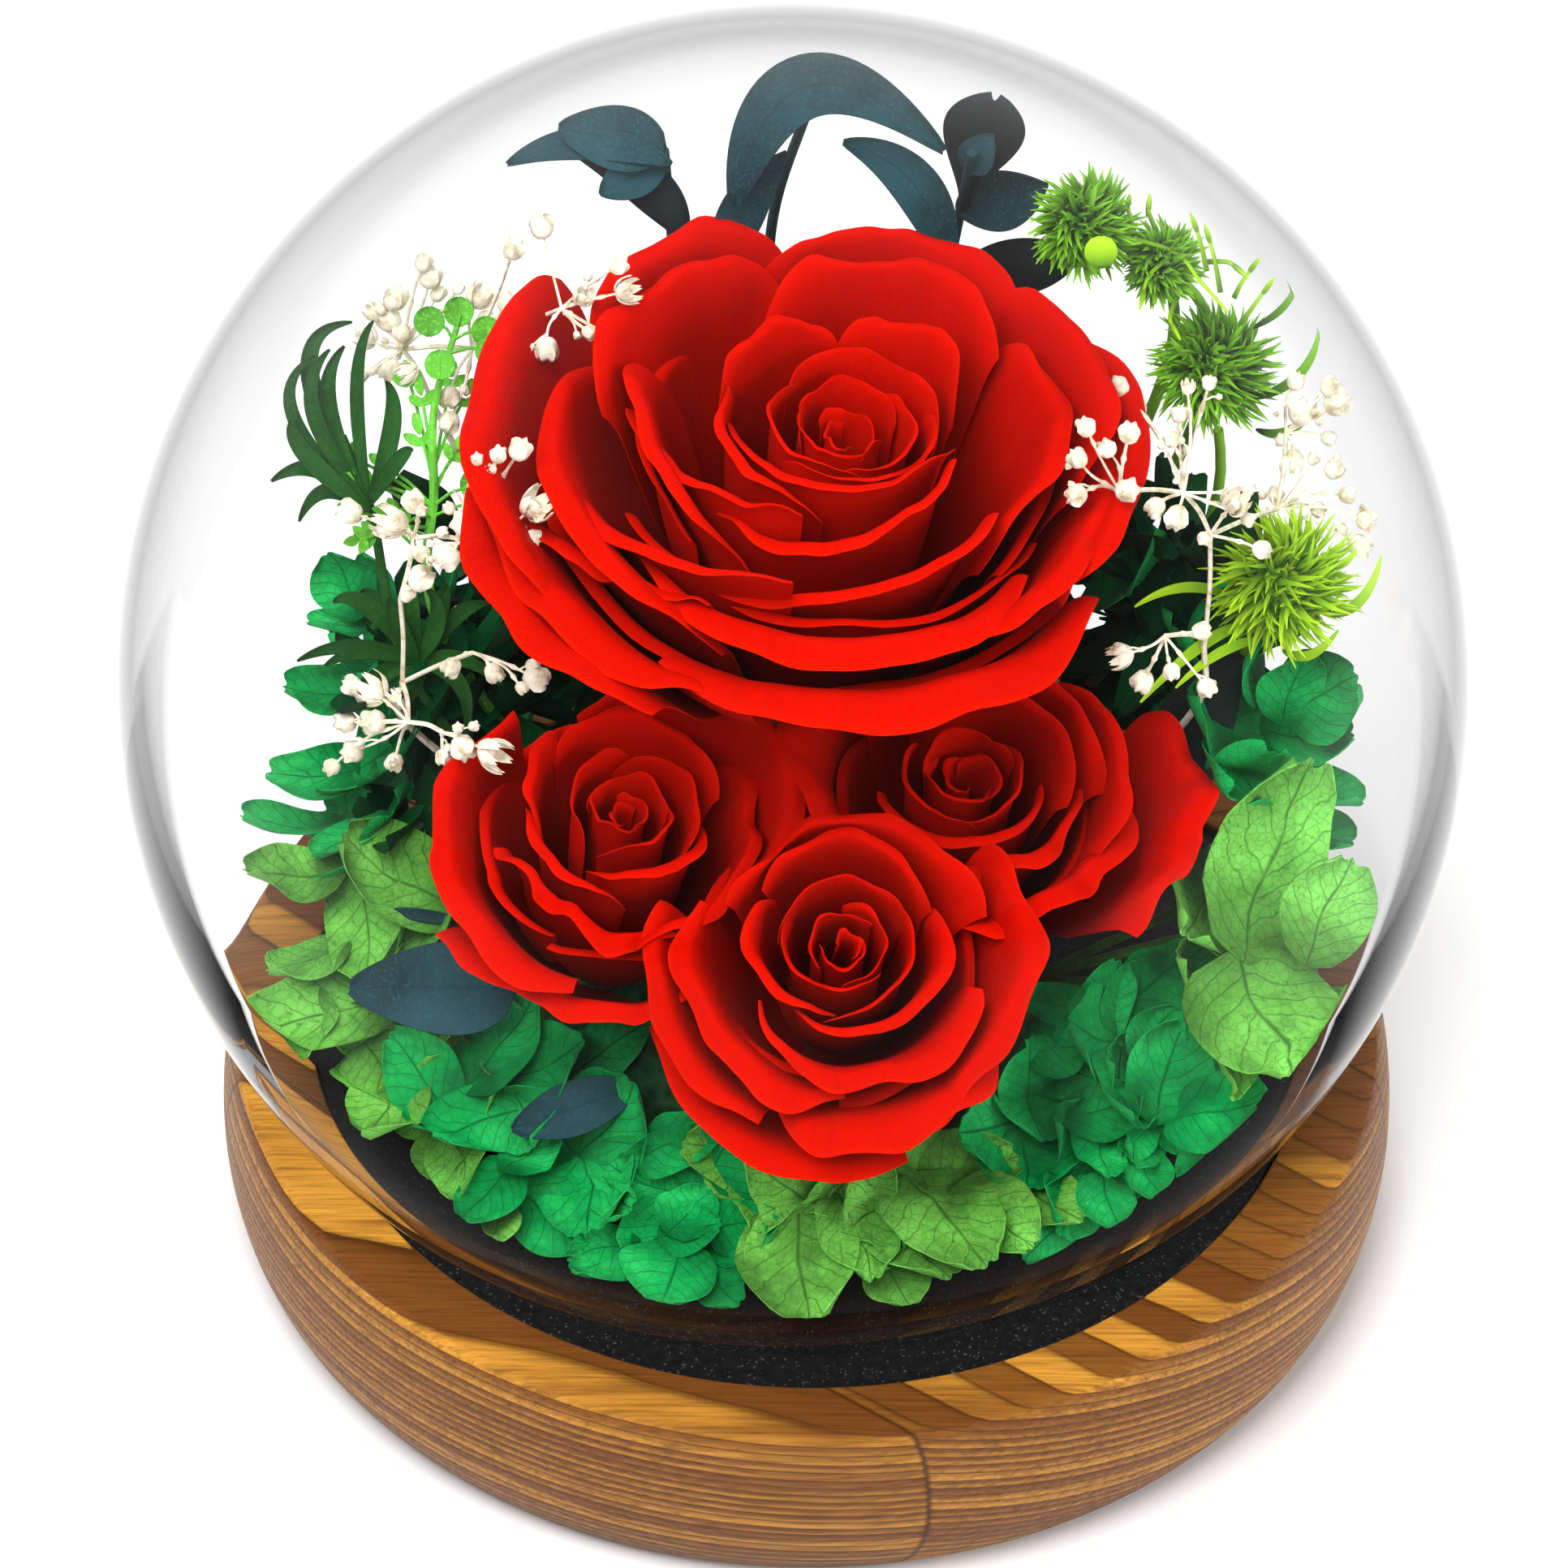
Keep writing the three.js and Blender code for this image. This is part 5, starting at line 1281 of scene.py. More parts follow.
def petal_surface(place, row, hip, wave, curl, rng):
    """A petal's middle surface: foot on the hip, belly, rim, and a lip that folds out and curls."""
    turn, half, foot, belly, rim, top, lip, drop, roundness, tuck, slant = row
    phase = [rng.uniform(0, 2 * math.pi) for _ in range(4)]
    peak = rng.uniform(-0.25, 0.25)

    def surface(u, v):
        s = v * (1 - roundness * np.abs(u) ** 2.6)
        spread = half * (0.6 + 0.4 * np.minimum(1, v / 0.5))
        r = bezier(hip + 0.8, belly, rim, rim + lip, s) + tuck * u * s
        z = bezier(foot, 0.3 * top, top * 1.05, top - drop, s) + slant * u * s
        near = v ** 4
        swell = 0.9 * min(wave, 1.0) * v * v * np.sin(2.3 * u + 2.5 * v + phase[1])
        ripple = (0.7 * np.sin(2.6 * u + phase[0]) + 0.5 * np.sin(5.4 * u + phase[1])
                  + 0.35 * np.sin(10.5 * u + phase[2]))
        fold = np.clip((v - 0.86) / 0.14, 0, 1) ** 2
        r = r + swell + wave * near * ripple + curl * fold
        jagged = 0.16 * np.sin(17 * u + phase[0]) + 0.13 * np.sin(26 * u + phase[3])
        rise = 0.6 * np.sin(3.4 * u + phase[3]) + 0.4 * np.sin(8.2 * u + phase[1]) + jagged
        z = z - 0.7 * curl * fold + wave * near * (rise + 1.5 * np.exp(-((u - peak) / 0.22) ** 2))
        return place(np.radians(turn - spread * u), r, z)
    return surface


def rose_hip(shells, rose, place):
    """The receptacle under the petals, and the stem down from it."""
    hip = rose["hip"]
    profile = [(0, -hip), (0.25 * hip, -hip), (0.6 * hip, -0.75 * hip), (0.95 * hip, -0.3 * hip),
               (hip, 0.1 * hip), (0.9 * hip, 0.3 * hip), (0.5 * hip, 3), (0, 4)]
    shells.turned(profile, 24, place)
    neck = place(0.0, 0.0, -0.7 * hip)
    low = np.array(rose["stem"], float)
    path = smooth_path([low, (neck + low) / 2 + np.array([0, 0, 2.0]), neck], 6)
    shells.tube(path, [2.0] * len(path), 12)


# Leaves, sepals, buds and hairs

def leaf_surface(base, tip, width, bow, facing, wide=0.5, blunt=0.75):
    """A leaf that bows from base to tip and is widest at a share of its length."""
    base, tip = np.array(base, float), np.array(tip, float)
    along = tip - base
    facing = np.array(facing, float)
    normal = unit(facing - along * facing.dot(along) / along.dot(along))
    side = unit(np.cross(along, normal))
    power = math.log(0.5) / math.log(wide)

    def surface(u, v):
        half = width / 2 * (0.12 + 0.88 * np.sin(math.pi * v ** power) ** blunt)
        lift = bow * 4 * v * (1 - v) + 0.12 * width * u * u
        return (base + v[..., None] * along + (half * u)[..., None] * side
                + lift[..., None] * normal)
    return surface


def blade_surface(base, middle, tip, width, facing, wide=0.45, cup=0.12):
    """A narrow leaf that bends through a middle point."""
    base, middle, tip = (np.array(point, float) for point in (base, middle, tip))
    bend = 2 * middle - (base + tip) / 2
    facing = np.array(facing, float)
    power = math.log(0.5) / math.log(wide)

    def surface(u, v):
        t = v[..., None]
        line = (1 - t) ** 2 * base + 2 * t * (1 - t) * bend + t * t * tip
        way = 2 * (1 - t) * (bend - base) + 2 * t * (tip - bend)
        side = np.cross(way, facing)
        side /= np.linalg.norm(side, axis=2, keepdims=True)
        normal = np.cross(side, way)
        normal /= np.linalg.norm(normal, axis=2, keepdims=True)
        half = width / 2 * (0.1 + 0.9 * np.sin(math.pi * v ** power) ** 0.8)
        return line + (half * u)[..., None] * side + (cup * width * u * u)[..., None] * normal
    return surface


def sepal_mesh():
    """One hydrangea sepal, a unit long and wide, cupped and a little waved."""
    shells = Shells()

    def surface(u, v):
        half = 0.5 * (0.14 + 0.86 * np.sin(math.pi * np.clip(v, 0, 1) ** 0.85 * 0.975) ** 0.6)
        y = v - 0.05 * u * u * v + 0.02 * np.sin(9 * u + 1) * v ** 4
        z = (0.13 * u * u * v + 0.14 * v * v - 0.05 * np.sin(3.2 * v)
             + 0.03 * np.sin(7 * u + 2 * v) * v ** 2)
        return np.stack([half * u, y, z], axis=-1) / MM
    shells.sheet(surface, 12, 12, 0.026 / MM, 0.4)
    return shells.mesh("sepal")


def bud_mesh():
    """One closed floweret, a unit wide, with five folded lobes."""
    shells = Shells()
    rings = 7
    steps = [math.pi * k / rings for k in range(1, rings)]
    rising = [(0.5 * math.sin(angle) ** 0.8, -0.5 * math.cos(angle)) for angle in steps]

    def place(angle, r, z):
        angle, r, z = np.broadcast_arrays(angle, r, z)
        lobe = np.cos(5 * angle)
        lobed = r * (1 + 0.16 * lobe * (z > 0))
        return np.stack([lobed * np.cos(angle), lobed * np.sin(angle),
                         z + 0.06 * lobe * (z > 0.1) * (r > 0.05)], axis=-1) / MM
    shells.turned([(0, -0.5), *rising, (0, 0.36)], 10, place)
    return shells.mesh("bud")


def flower_mesh():
    """One open floweret, a unit wide: seven pointed petals that fold up round the middle."""
    shells = Shells()
    for k in range(7):
        turn = 2 * math.pi * k / 7

        def surface(u, v):
            half = 0.2 * np.sin(math.pi * np.clip(v, 0, 1) ** 0.6 * 0.96) ** 0.8 + 0.02
            x = 0.06 + 0.5 * np.sin(1.9 * v) ** 0.8 * (0.8 + 0.2 * (k % 2)) + 0.03 * (k % 3)
            y = half * u
            z = -0.42 + 0.85 * v ** 1.3 + 0.12 * u * u - 0.05 * (k % 2)
            return np.stack([x * math.cos(turn) - y * math.sin(turn),
                             x * math.sin(turn) + y * math.cos(turn), z], axis=-1) / MM
        shells.sheet(surface, 4, 6, 0.05 / MM, 0.4)
    profile = [(0.3 * math.sin(math.pi * k / 5), -0.12 - 0.3 * math.cos(math.pi * k / 5))
               for k in range(6)]
    profile[0], profile[-1] = (0, -0.42), (0, 0.18)
    shells.turned(profile, 8, lambda angle, r, z: upright((0, 0))(angle, r, z) / MM)
    return shells.mesh("flower")


def hair_mesh(length, width, curl):
    """One hair: a thin tapering spike that bends over, built along +Z."""
    shells = Shells()
    path = [(curl * t * t * length, 0, t * length) for t in (0, 0.35, 0.7, 1.0)]
    shells.tube(path, [width / 2, width * 0.45, width * 0.3, width * 0.05], 3)
    return shells.mesh("hair")


def helper(mesh):
    """A shape that trees copy. It is removed after use."""
    return new_object("helper_" + mesh.name, mesh)


# Operators

class BuildBase(bpy.types.Operator):
    """Builds the turned wooden base with its recess and the black disc in it"""
    bl_idname = "rosedome.base"
    bl_label = "Base and disc"

    def execute(self, context):
        settings = context.scene.rose_dome_base
        inset = settings.foot_inset / MM
        widest, crown = 16.0, BASE_RADIUS - 2.9
        side = []
        for k in range(33):
            angle = math.radians(-90 + 170 * k / 32)
            rise = math.sin(angle)
            draw = inset if rise < 0 else BASE_RADIUS - crown
            side.append((BASE_RADIUS - draw * (1 - math.cos(angle)),
                         widest + rise * (widest if rise < 0 else BASE_HEIGHT - widest)))
        side[0] = (side[0][0] - 0.4, 0)
        recess, floor = DISC_RADIUS + 0.4, DISC_LOW - 0.3
        rim = arc(recess + 0.6, BASE_HEIGHT - 0.6, 0.6, np.radians([90, 120, 150, 180]))
        shells = Shells()
        shells.turned([(0, 0), (40, 0), *side, (crown - 0.7, BASE_HEIGHT), *rim,
                       (recess, floor + 0.2), (recess - 0.2, floor), (30, floor), (0, floor)],
                      ROUND, upright((BASE_CENTRE, 0)))
        wood = wood_finish(settings.wood_dark, settings.wood_gold, settings.layer_spacing)
        settle(shells.piece("turned_base", wood, 40), "wood", "wooden_base")

        edge = arc(DISC_RADIUS - 0.9, DISC_TOP - 0.9, 0.9, np.radians([0, 22, 45, 68, 90]))
        shells = Shells()
        shells.turned([(0, DISC_LOW), (DISC_RADIUS - 0.4, DISC_LOW), (DISC_RADIUS, DISC_LOW + 0.4),
                       *edge, (40, DISC_TOP), (0, DISC_TOP)], ROUND, upright((BASE_CENTRE, 0)))
        disc = shells.piece("display_disc", disc_finish(settings.disc_colour), 40)
        settle(disc, "black_disc", "black_disc")
        return {"FINISHED"}


class BuildDome(bpy.types.Operator):
    """Builds the round glass dome with its smoothed rim"""
    bl_idname = "rosedome.dome"
    bl_label = "Glass dome"

    def execute(self, context):
        settings = context.scene.rose_dome_glass
        wall = settings.wall / MM
        middle = DOME_RADIUS - wall / 2
        low = math.asin((DOME_RIM + wall / 2 - DOME_CENTRE) / middle)
        angles = [low + (math.pi / 2 - low) * k / 64 for k in range(65)]
        outer = arc(0, DOME_CENTRE, DOME_RADIUS, angles)
        inner = arc(0, DOME_CENTRE, DOME_RADIUS - wall, angles)
        outer[-1], inner[-1] = (0, outer[-1][1]), (0, inner[-1][1])
        foot = arc(middle * math.cos(low), DOME_CENTRE + middle * math.sin(low), wall / 2,
                   [low - math.pi * k / 6 for k in range(5, 0, -1)])
        shells = Shells()
        shells.turned([*reversed(inner), *foot, *outer], 160, upright((0, 0)))
        dome = shells.piece("clear_dome", glass_finish(settings.tint, settings.ior))
        settle(dome, "glass", "glass_dome")
        return {"FINISHED"}


class BuildRoses(bpy.types.Operator):
    """Builds the four roses, petal by petal"""
    bl_idname = "rosedome.roses"
    bl_label = "Roses"

    def execute(self, context):
        settings = context.scene.rose_dome_roses
        velvet = petal_finish(settings.lit, settings.shade_and_vein_red)
        for index, (name, rose) in enumerate(ROSES.items()):
            place = rose_place(rose)
            rng = random.Random(index + 11)
            wave = rose["wave"] * settings.waviness
            hip, petal = rose["hip"], rose["petal"]
            shells = Shells()
            rose_hip(shells, rose, place)
            for rows, foot, calm, curl, steps, thickness in (
                    (rose["swirl"], hip - 1.5, 0.6, 0.3, 16, petal * 0.85),
                    (rose["inner"], hip, 0.8, 0.8, 24, petal)):
                for row in rows:
                    surface = petal_surface(place, row, foot, wave * calm, curl, rng)
                    shells.sheet(surface, 36, steps, thickness, 0.4)
            settle(shells.piece(f"{name}_swirl", velvet), "rose_petal", f"{name}_heart")
            for k, row in enumerate(rose["petals"], 1):
                shells = Shells()
                surface = petal_surface(place, row, hip, wave * rose["ruffle"], 1.1, rng)
                shells.sheet(surface, 44, 32, petal, 0.4)
                bloom = shells.piece(f"{name}_bloom_{k}", velvet)
                settle(bloom, "rose_petal", f"{name}_petal_{k}")
        return {"FINISHED"}


class BuildHydrangeas(bpy.types.Operator):
    """Builds the hydrangea heads from four-sepal florets on stalks"""
    bl_idname = "rosedome.hydrangeas"
    bl_label = "Hydrangeas"

    def execute(self, context):
        settings = context.scene.rose_dome_foliage
        emerald = sepal_finish("emerald hydrangea", settings.emerald, False)
        pale = sepal_finish("light green hydrangea", settings.pale, True)
        # Painted shade: the last colour of each leaf finish is its darker underside, and the shaded
        # leaf is the emerald painted dark
        leather = leaf_finish("dark leaf", settings.teal, (0.012, 0.02, 0.018))
        shaded = leaf_finish("shaded leaf", toned(settings.emerald, 0.22),
                             toned(settings.emerald, 0.1))
        tree = scatter_tree()
        sepal = helper(sepal_mesh())

        def sepals(name, rows, finish):
            return grown(name, carrier(name, rows), tree, Shape=sepal, Material=finish,
                         Crinkle=0.0045, Crinkle_size=85.0)

        for index, (name, head) in enumerate(HYDRANGEAS.items()):
            rng = random.Random(settings.seed + index)
            finish = pale if head["pale"] else emerald
            stalks = Shells()
            rows = [self.open_sepal(*row, rng) for row in head["sepals"]]
            for floret in head["florets"]:
                self.floret(rows, stalks, head, floret, rng)
            piece = new_object(name + "_sepals", sepals(name, rows, finish))
            join_mesh(piece, stalks.mesh(name + "_stalks"), finish)
            if "fill" in head:
                join_mesh(piece, sepals(name + "_fill", self.fill(*head["fill"], rng), shaded))
            if "dark_leaf" in head:
                leaf = Shells()
                leaf.sheet(blade_surface(*head["dark_leaf"], (-0.3, 0.7, -0.6), 0.5), 12, 28, 0.5)
                join_mesh(piece, leaf.mesh(name + "_leaf"), leather)
            keep_under_glass(piece)
            settle(piece, "hydrangea_light_green" if head["pale"] else "hydrangea_emerald", name)
        bpy.data.objects.remove(sepal)
        return {"FINISHED"}

    def floret(self, rows, stalks, head, floret, rng):
        """Four sepals that open round a centre, and the stalk up to it."""
        x, y, z, radius, spin = floret
        root = np.array(head["root"], float)
        centre = np.array([x, y, z], float)
        if head["sepals"]:
            centre += (root - centre) * 0.16
            radius *= 0.86
        normal = unit(unit((x, y, 0)) + np.array([0, 0, 0.9]))
        side = unit(np.cross((0, 0, 1), normal))
        front = np.cross(normal, side)
        for k in range(4):
            angle = math.radians(spin + 45 + 90 * k + rng.uniform(-9, 9))
            flat = side * math.cos(angle) + front * math.sin(angle)
            tilt = math.radians(rng.uniform(-4, 12))
            along = unit(flat * math.cos(tilt) + normal * math.sin(tilt))
            across = unit(np.cross(along, normal))
            length = radius * rng.uniform(0.94, 1.0)
            rows.append((centre + flat * 0.3, axes(across, along, np.cross(across, along)),
                         (length * rng.uniform(0.95, 1.15), length, length)))
        path = smooth_path([root + (centre - root) * 0.02, (root + centre) / 2 + normal * 2, centre], 5)
        stalks.tube(path, [0.7] * len(path), 6)

    def fill(self, low, high, count, rose, rng):
        """Leaves at random in a box, facing out and up."""
        rows = []
        while len(rows) < count:
            foot = np.array([rng.uniform(a, b) for a, b in zip(low, high)])
            if math.hypot(foot[0] - rose[0], foot[1] - rose[1]) < rose[2]:
                continue
            way = np.array([rng.gauss(0, 1), rng.gauss(0, 1), rng.gauss(0.3, 0.8)])
            length = rng.uniform(11, 16)
            rows.append(self.open_sepal(foot, foot + unit(way) * length, length * 0.55, rng))
        return rows

    def open_sepal(self, foot, tip, width, rng):
        """The place, turn and size of a sepal that faces out and up."""
        foot, tip = np.array(foot, float), np.array(tip, float)
        way = tip - foot
        length = np.linalg.norm(way)
        out = unit((foot[0] + tip[0], foot[1] + tip[1], 0))
        facing = out * 0.75 + np.array([0, 0, 1.0])
        facing = facing + np.array([rng.uniform(-0.22, 0.22) for _ in range(3)])
        side = unit(np.cross(way, facing))
        turn = axes(side, way / length, unit(np.cross(side, way)))
        return foot - way * 0.06, turn, (width * 1.12, length * 1.1, length)


class BuildEucalyptus(bpy.types.Operator):
    """Builds the eucalyptus branches and the single leaves low in front"""
    bl_idname = "rosedome.eucalyptus"
    bl_label = "Eucalyptus"

    def execute(self, context):
        settings = context.scene.rose_dome_foliage
        # Painted shade: the second colour is the darker underside
        leather = leaf_finish("eucalyptus", settings.teal, (0.012, 0.02, 0.023))
        for name, row in EUCALYPTUS.items():
            shells = Shells()
            if row["stem"]:
                path = smooth_path(row["stem"], 10)
                shells.tube(path, np.linspace(1.0, 0.7, len(path)), 8)
            for base, *leaf in row["leaves"]:
                if row["stem"]:
                    base = nearest(path, base)
                shells.sheet(leaf_surface(base, *leaf), 12, 24, 0.45, 0.5)
            for blade in row["blades"]:
                shells.sheet(blade_surface(*blade), 10, 28, 0.45, 0.5)
            settle(shells.piece(name + "_leaves", leather), "eucalyptus", name)
        return {"FINISHED"}


class BuildBalls(bpy.types.Operator):
    """Builds the fringed green flower balls on their stems"""
    bl_idname = "rosedome.balls"
    bl_label = "Fringed balls"

    def execute(self, context):
        settings = context.scene.rose_dome_foliage
        # Painted shade: the first colour darkens the hairs towards the core of each ball
        green = hair_finish("fringe green", (0.002, 0.018, 0.001), (0.22, 0.56, 0.02))
        lime = hair_finish("fringe lime", (0.05, 0.17, 0.003), (0.46, 0.78, 0.02))
        tree = hair_tree()
        for index, (name, row) in enumerate(BALLS.items()):
            finish = lime if row["lime"] else green
            core = row["radius"] * 0.42
            long = row["radius"] * (0.72 if row["lime"] else 0.66)
            hair = helper(hair_mesh(long, 1.15, 0.3))
            ball = Shells()
            centre = np.array(row["centre"], float)
            profile = [(core * math.sin(math.pi * k / 12), -core * math.cos(math.pi * k / 12))
                       for k in range(13)]
            profile[0], profile[-1] = (0, -core), (0, core)
            ball.turned(profile, 20, lambda a, r, z: upright(centre)(a, r, z + centre[2]))
            area = 4 * math.pi * (core * MM) ** 2
            mesh = grown(name, ball.mesh(name), tree, Hair=hair, Material=finish,
                         Density=settings.hairs / area, Lean=0.75, Least_length=0.4,
                         Seed=settings.seed + index)
            piece = new_object(name + "_fringe", mesh)
            stem = Shells()
            path = smooth_path([*row["stem"], row["centre"]], 8)
            stem.tube(path[:-3], np.linspace(1.0, 0.75, len(path) - 3), 8)
            for blade in row["blades"]:
                stem.sheet(blade_surface(*blade, TO_VIEWER, 0.4), 6, 20, 0.3)
            join_mesh(piece, stem.mesh(name + "_stem"), finish)
            if name == "dianthus_ball_upper":
                join_mesh(piece, self.cress().mesh(name + "_cress"), lime)
            keep_under_glass(piece)
            settle(piece, "fresh_green", name)
            bpy.data.objects.remove(hair)
        return {"FINISHED"}

    def cress(self):
        """Thin twigs that end in a narrow pod, but for the first, and one round leaf."""
        shells = Shells()
        for k, points in enumerate(CRESS):
            path = smooth_path(points, 6)
            shells.tube(path, np.linspace(0.42, 0.22, len(path)), 5)
            if k:
                way = unit(path[-1] - path[-4])
                shells.tube([path[-1] - way * 2.2, path[-1] - way, path[-1], path[-1] + way * 1.2],
                            [0.2, 0.42, 0.38, 0.1], 5)
        centre, radius = CRESS_LEAF
        low = np.array(centre, float) - np.array([0, 0.7, 0.7]) * radius
        shells.sheet(leaf_surface(low, low + np.array([0, 1.4, 1.4]) * radius, 2.1 * radius, 0.2,
                                  TO_VIEWER, 0.5, 0.5), 12, 12, 0.3)
        return shells


class BuildSprays(bpy.types.Operator):
    """Builds the baby's breath: forked twigs with small cream flowerets"""
    bl_idname = "rosedome.sprays"
    bl_label = "Baby's breath"

    def execute(self, context):
        settings = context.scene.rose_dome_foliage
        cream = bud_finish()
        tree = scatter_tree()
        shapes = [helper(bud_mesh()), helper(flower_mesh())]
        for index, (name, spray) in enumerate(SPRAYS.items()):
            rng = random.Random(settings.seed + 40 + index)
            twigs, rows = Shells(), ([], [])
            stem = smooth_path(spray["stem"], 8)
            twigs.tube(stem, np.linspace(0.6, 0.45, len(stem)), 5)
            forks = [stem[-1]]
            for fork, buds in spray["crowns"]:
                fork = np.array(fork, float)
                start = nearest(np.array(forks), fork)
                middle = (start + fork) / 2 + np.array([0.3, 0, 0.5])
                twigs.tube(smooth_path([start, middle, fork], 4), [0.36] * 9, 5)
                forks.append(fork)
                for *place, size in buds:
                    self.twig(twigs, rows, fork, np.array(place, float), size, rng)
            piece = twigs.piece(name + "_twigs", cream)
            for kind, shape in enumerate(shapes):
                mesh = grown(f"{name}_{kind}", carrier(f"{name}_{kind}", rows[kind]), tree,
                             Shape=shape, Material=cream, Crinkle=0.0004, Crinkle_size=300.0)
                join_mesh(piece, mesh)
            keep_under_glass(piece)
            settle(piece, "cream", name)
        for shape in shapes:
            bpy.data.objects.remove(shape)
        return {"FINISHED"}

    def twig(self, twigs, rows, fork, bud, size, rng):
        """A knotted twig to one bud, now and then with a small bud on a side twig."""
        way = unit(bud - fork)
        middle = (fork + bud) / 2 + np.array([rng.uniform(-1, 1), rng.uniform(-1, 1), 0.6])
        path = smooth_path([fork, middle, bud], 6)
        radii = np.linspace(0.27, 0.2, len(path))
        radii[rng.randint(3, len(path) - 4)] += 0.22
        twigs.tube(path, radii, 4)
        self.bud(rows, bud, unit(path[-1] - path[-4]), size, rng)
        if rng.random() < 0.6:
            at = path[rng.randint(4, len(path) - 3)]
            turn = unit(way + np.array([rng.uniform(-1, 1) for _ in range(3)]) * 0.9)
            end = at + turn * rng.uniform(1.5, 4)
            twigs.tube([at, (at + end) / 2 + 0.2, end], [0.19, 0.17, 0.15], 4)
            self.bud(rows, end, turn, size * rng.uniform(0.3, 0.6), rng)

    def bud(self, rows, place, way, size, rng):
        """A bud, or an open floweret where it is large and now and then elsewhere."""
        side = unit(np.cross(way, (rng.uniform(-1, 1), rng.uniform(-1, 1), 0.4)))
        opened = int(size > 4 or rng.random() < 0.22)
        rows[opened].append((place, axes(side, np.cross(way, side), way), (size, size, size * 1.05)))


class BuildSprigs(bpy.types.Operator):
    """Builds the ruscus with its fans of blades, and the fresh sprig with its leaflets"""
    bl_idname = "rosedome.sprigs"
    bl_label = "Sprigs"

    def execute(self, context):
        settings = context.scene.rose_dome_foliage
        rng = random.Random(settings.seed + 80)
        # Painted shade: the second colour of each finish is the darker underside
        ruscus = self.ruscus(rng).piece(
            "ruscus_left_blades", leaf_finish("ruscus", (0.012, 0.075, 0.010), (0.01, 0.04, 0.008)))
        sprig = self.green_sprig(rng).piece(
            "green_sprig_left_leaves",
            leaf_finish("fresh sprig", (0.12, 0.46, 0.04), (0.08, 0.36, 0.03)))
        for piece, slot, node in ((ruscus, "ruscus", "ruscus_left"),
                                  (sprig, "fresh_green", "green_sprig_left")):
            keep_under_glass(piece)
            settle(piece, slot, node)
        return {"FINISHED"}

    def ruscus(self, rng):
        """A stem with fans of narrow blades."""
        shells = Shells()
        stem = smooth_path(RUSCUS["stem"], 12)
        shells.tube(stem, np.linspace(0.9, 0.6, len(stem)), 6)
        for base, blades in RUSCUS["fans"]:
            for middle, tip in blades:
                facing = (rng.uniform(-0.3, 0.3), -0.7, rng.uniform(0.5, 0.9))
                width = rng.uniform(2.0, 2.7)
                shells.sheet(blade_surface(base, middle, tip, width, facing, 0.4, 0.2), 6, 22, 0.3)
        return shells

    def green_sprig(self, rng):
        """Twigs that end in three leaflets, and twigs that end in a round leaf."""
        shells = Shells()
        stem = smooth_path(GREEN_SPRIG["stem"], 12)
        shells.tube(stem, np.linspace(1.0, 0.5, len(stem)), 6)
        for place in GREEN_SPRIG["leaflets"]:
            place = np.array(place, float)
            root = nearest(stem[stem[:, 2] < place[2] - 4], place)
            way = unit(place - root)
            middle = (root + place) / 2 + np.array([0, 0, 0.8])
            shells.tube(smooth_path([root, middle, place], 5), [0.25] * 11, 5)
            for turn in (-1.0, 0.0, 1.0):
                aim = unit(way + turn * unit(np.cross(way, TO_VIEWER)))
                start = place + way * (0.4 - 1.6 * abs(turn))
                shells.sheet(leaf_surface(start, start + aim * rng.uniform(2.4, 3.4), 1.5, 0.2,
                                          (rng.uniform(-0.4, 0.4), -0.7, 0.7)), 4, 8, 0.25)
        for place in GREEN_SPRIG["round"]:
            place = np.array(place, float)
            root = nearest(stem, place - (0, 0, 3))
            shells.tube(smooth_path([root, (root + place) / 2 + 0.4, place - (0, 1.2, 1.2)], 4),
                        [0.25] * 9, 5)
            low = place - np.array([0, 1.5, 1.5])
            shells.sheet(leaf_surface(low, low + (0, 3.0, 3.0), 4.4, 0.3,
                                      (rng.uniform(-0.3, 0.3), -0.7, 0.7), 0.5, 0.5), 10, 10, 0.3)
        return shells


class BuildFoam(bpy.types.Operator):
    """Builds the rounded foam block that holds the stems"""
    bl_idname = "rosedome.foam"
    bl_label = "Foam"

    def execute(self, context):
        low, high = (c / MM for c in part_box("floral_foam"))
        radius = (high.x - low.x) / 2
        top, foot = high.z, low.z
        profile = [(0, foot), (radius * 0.96, foot), (radius, foot + 1.5), (radius, top - 11),
                   (radius * 0.95, top - 8), (radius * 0.74, top - 1.6), (radius * 0.66, top - 0.5),
                   (0, top - 0.3)]
        rng = random.Random(3)
        bumps = [(rng.uniform(2, 9), rng.uniform(0, 6.28)) for _ in range(5)]

        def place(angle, r, z):
            rough = sum(np.sin(round(n) * np.asarray(angle) + p) for n, p in bumps) / 5
            return upright((0, 0))(angle, r * (1 - 0.02 + 0.02 * rough), z)
        shells = Shells()
        shells.turned(profile, 72, place)
        settle(shells.piece("stem_foam", foam_finish(), 50), "foam", "floral_foam")
        return {"FINISHED"}


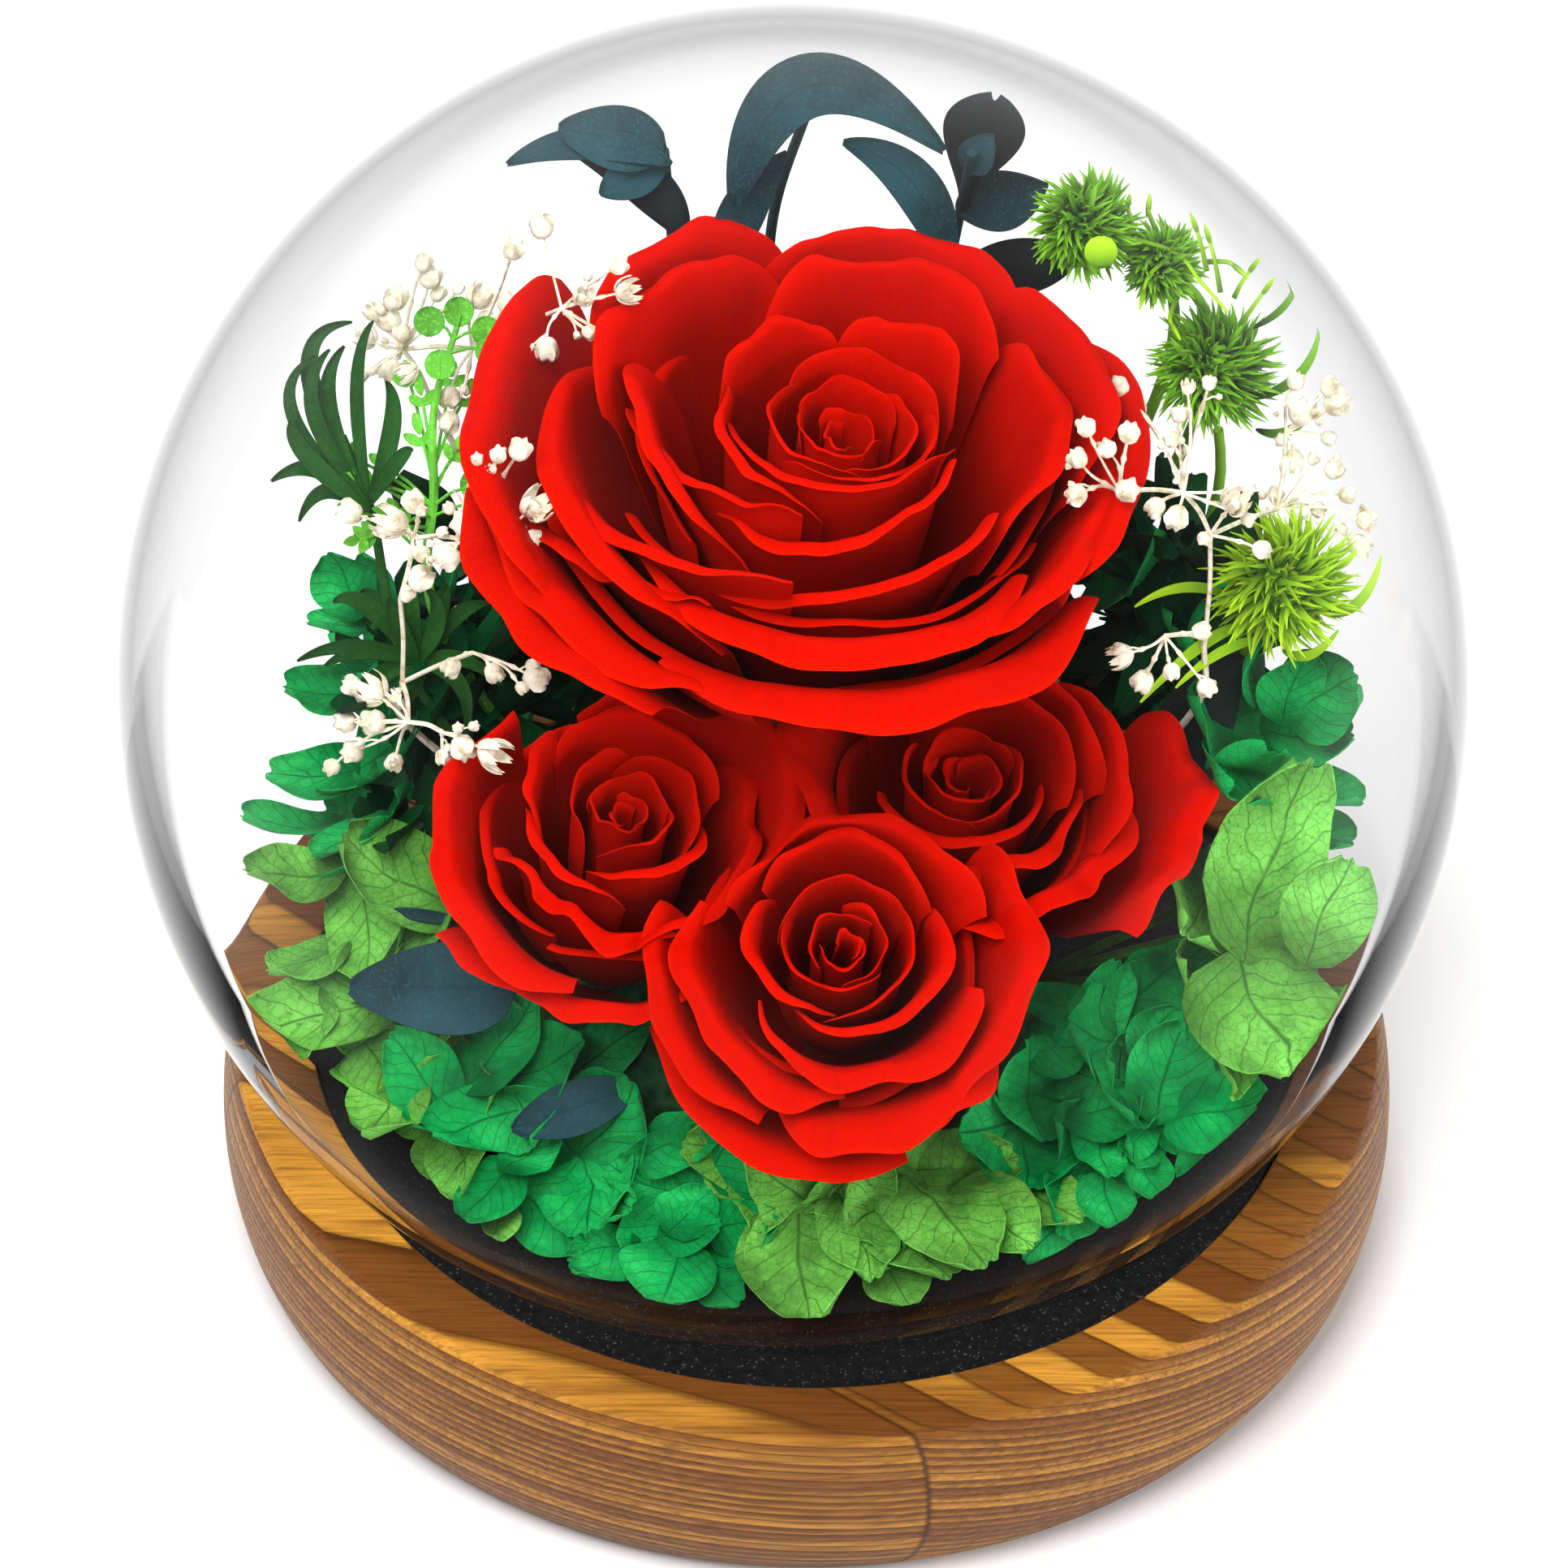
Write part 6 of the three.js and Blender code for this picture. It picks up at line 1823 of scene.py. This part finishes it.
class BuildStage(bpy.types.Operator):
    """Sets the floor, the soft lamps, the sky and the camera"""
    bl_idname = "rosedome.stage"
    bl_label = "Stage"

    def execute(self, context):
        settings = context.scene.rose_dome_stage
        scene = context.scene
        scene.view_settings.view_transform = "Standard"
        shells = Shells()
        shells.turned([(0, -4.0), (6000, -4.0), (6000, -0.05), (0, -0.05)], 64, upright((0, 0)))
        floor = shells.piece("studio_floor", floor_finish(settings.floor, settings.inner), 30)

        scene.world = self.sky(settings)
        self.lamp("key_softbox", (-0.25, -0.35, 0.95), 0.7, settings.key)
        self.lamp("fill_softbox", (0.75, -0.55, 0.45), 0.5, settings.key * 0.35)
        self.lamp("back_softbox", (0.1, 0.8, 0.6), 0.5, settings.key * 0.3)
        self.camera(scene)
        return {"FINISHED"}

    def sky(self, settings):
        """Even light: bright behind the glass, softer on the flowers, dim in their reflections."""
        world = bpy.data.worlds.new("studio sky")
        world.use_nodes = True
        nodes, link = world.node_tree.nodes, world.node_tree.links.new
        path = nodes.new("ShaderNodeLightPath").outputs

        def made(kind, *inputs):
            node = nodes.new("ShaderNode" + kind)
            for socket, value in zip(node.inputs, inputs):
                if isinstance(value, bpy.types.NodeSocket):
                    link(value, socket)
                else:
                    socket.default_value = value
            return node

        def background(strength):
            return made("Background", (1, 1, 1, 1), strength).outputs[0]

        def math_of(operation, first, second):
            node = made("Math", first, second)
            node.operation = operation
            return node.outputs[0]

        def mixed(factor, first, second):
            return made("MixShader", factor, first, second).outputs[0]

        seen = math_of("MAXIMUM", path["Is Camera Ray"], path["Is Transmission Ray"])
        direct = mixed(seen, background(settings.sky), background(1.0))
        inside = math_of("MINIMUM", path["Transmission Depth"], 1)
        mirror = mixed(inside, background(settings.reflected), background(settings.inner))
        mirrored = math_of("MINIMUM", path["Glossy Depth"], 1)
        nodes.remove(nodes["Background"])
        link(mixed(mirrored, direct, mirror), nodes["World Output"].inputs["Surface"])
        return world

    def lamp(self, name, place, size, power):
        """A square lamp that lights the piece and isn't mirrored in it."""
        light = bpy.data.lights.new(name, "AREA")
        light.shape = "SQUARE"
        light.size = size
        light.energy = power
        lamp = new_object(name, light)
        lamp.location = place
        aim = Vector((0, 0, 0.09)) - Vector(place)
        lamp.rotation_euler = aim.to_track_quat("-Z", "Y").to_euler()
        lamp.visible_glossy = False
        lamp.visible_transmission = False

    def camera(self, scene):
        """The photograph's view: 44 degrees above, far away, rolled a little."""
        data = bpy.data.cameras.new("camera")
        data.sensor_width = 36
        data.lens = CAMERA_LENS
        data.clip_start = 0.1
        data.clip_end = 50
        camera = new_object("camera", data)
        centre = Vector((0, 0, DOME_CENTRE * MM))
        up = Vector((0, math.sin(CAMERA_LIFT), math.cos(CAMERA_LIFT)))
        back = Vector((0, -math.cos(CAMERA_LIFT), math.sin(CAMERA_LIFT)))
        camera.location = centre + CAMERA_DISTANCE * back
        aim = centre + CAMERA_AIM[0] * Vector((1, 0, 0)) + CAMERA_AIM[1] * up
        look = (aim - camera.location).to_track_quat("-Z", "Y").to_matrix()
        camera.rotation_euler = (look @ Matrix.Rotation(CAMERA_ROLL, 3, "Z")).to_euler()
        scene.camera = camera


class RoseDomePanel(bpy.types.Panel):
    """Lists the builders and their settings"""
    bl_idname = "VIEW3D_PT_rose_dome"
    bl_label = "Rose dome"
    bl_space_type = "VIEW_3D"
    bl_region_type = "UI"
    bl_category = "Rose dome"

    def draw(self, context):
        for group, kind, operators in BUILDERS:
            box = self.layout.box()
            for name in kind.__annotations__:
                box.prop(getattr(context.scene, group), name)
            for operator in operators:
                box.operator(operator.bl_idname)


BUILDERS = (
    ("rose_dome_base", BaseSettings, (BuildBase,)),
    ("rose_dome_glass", DomeSettings, (BuildDome,)),
    ("rose_dome_roses", RoseSettings, (BuildRoses,)),
    ("rose_dome_foliage", FoliageSettings, (BuildHydrangeas, BuildEucalyptus, BuildBalls,
                                            BuildSprays, BuildSprigs, BuildFoam)),
    ("rose_dome_stage", StageSettings, (BuildStage,)),
)


def register():
    for name, group, operators in BUILDERS:
        for kind in (group, *operators):
            bpy.utils.register_class(kind)
        setattr(bpy.types.Scene, name, bpy.props.PointerProperty(type=group))
    bpy.utils.register_class(RoseDomePanel)


def unregister():
    bpy.utils.unregister_class(RoseDomePanel)
    for name, group, operators in reversed(BUILDERS):
        delattr(bpy.types.Scene, name)
        for kind in reversed((group, *operators)):
            bpy.utils.unregister_class(kind)


def main():
    register()
    for _, _, operators in BUILDERS:
        for operator in operators:
            group, name = operator.bl_idname.split(".")
            getattr(getattr(bpy.ops, group), name)()


if __name__ == "__main__":
    main()
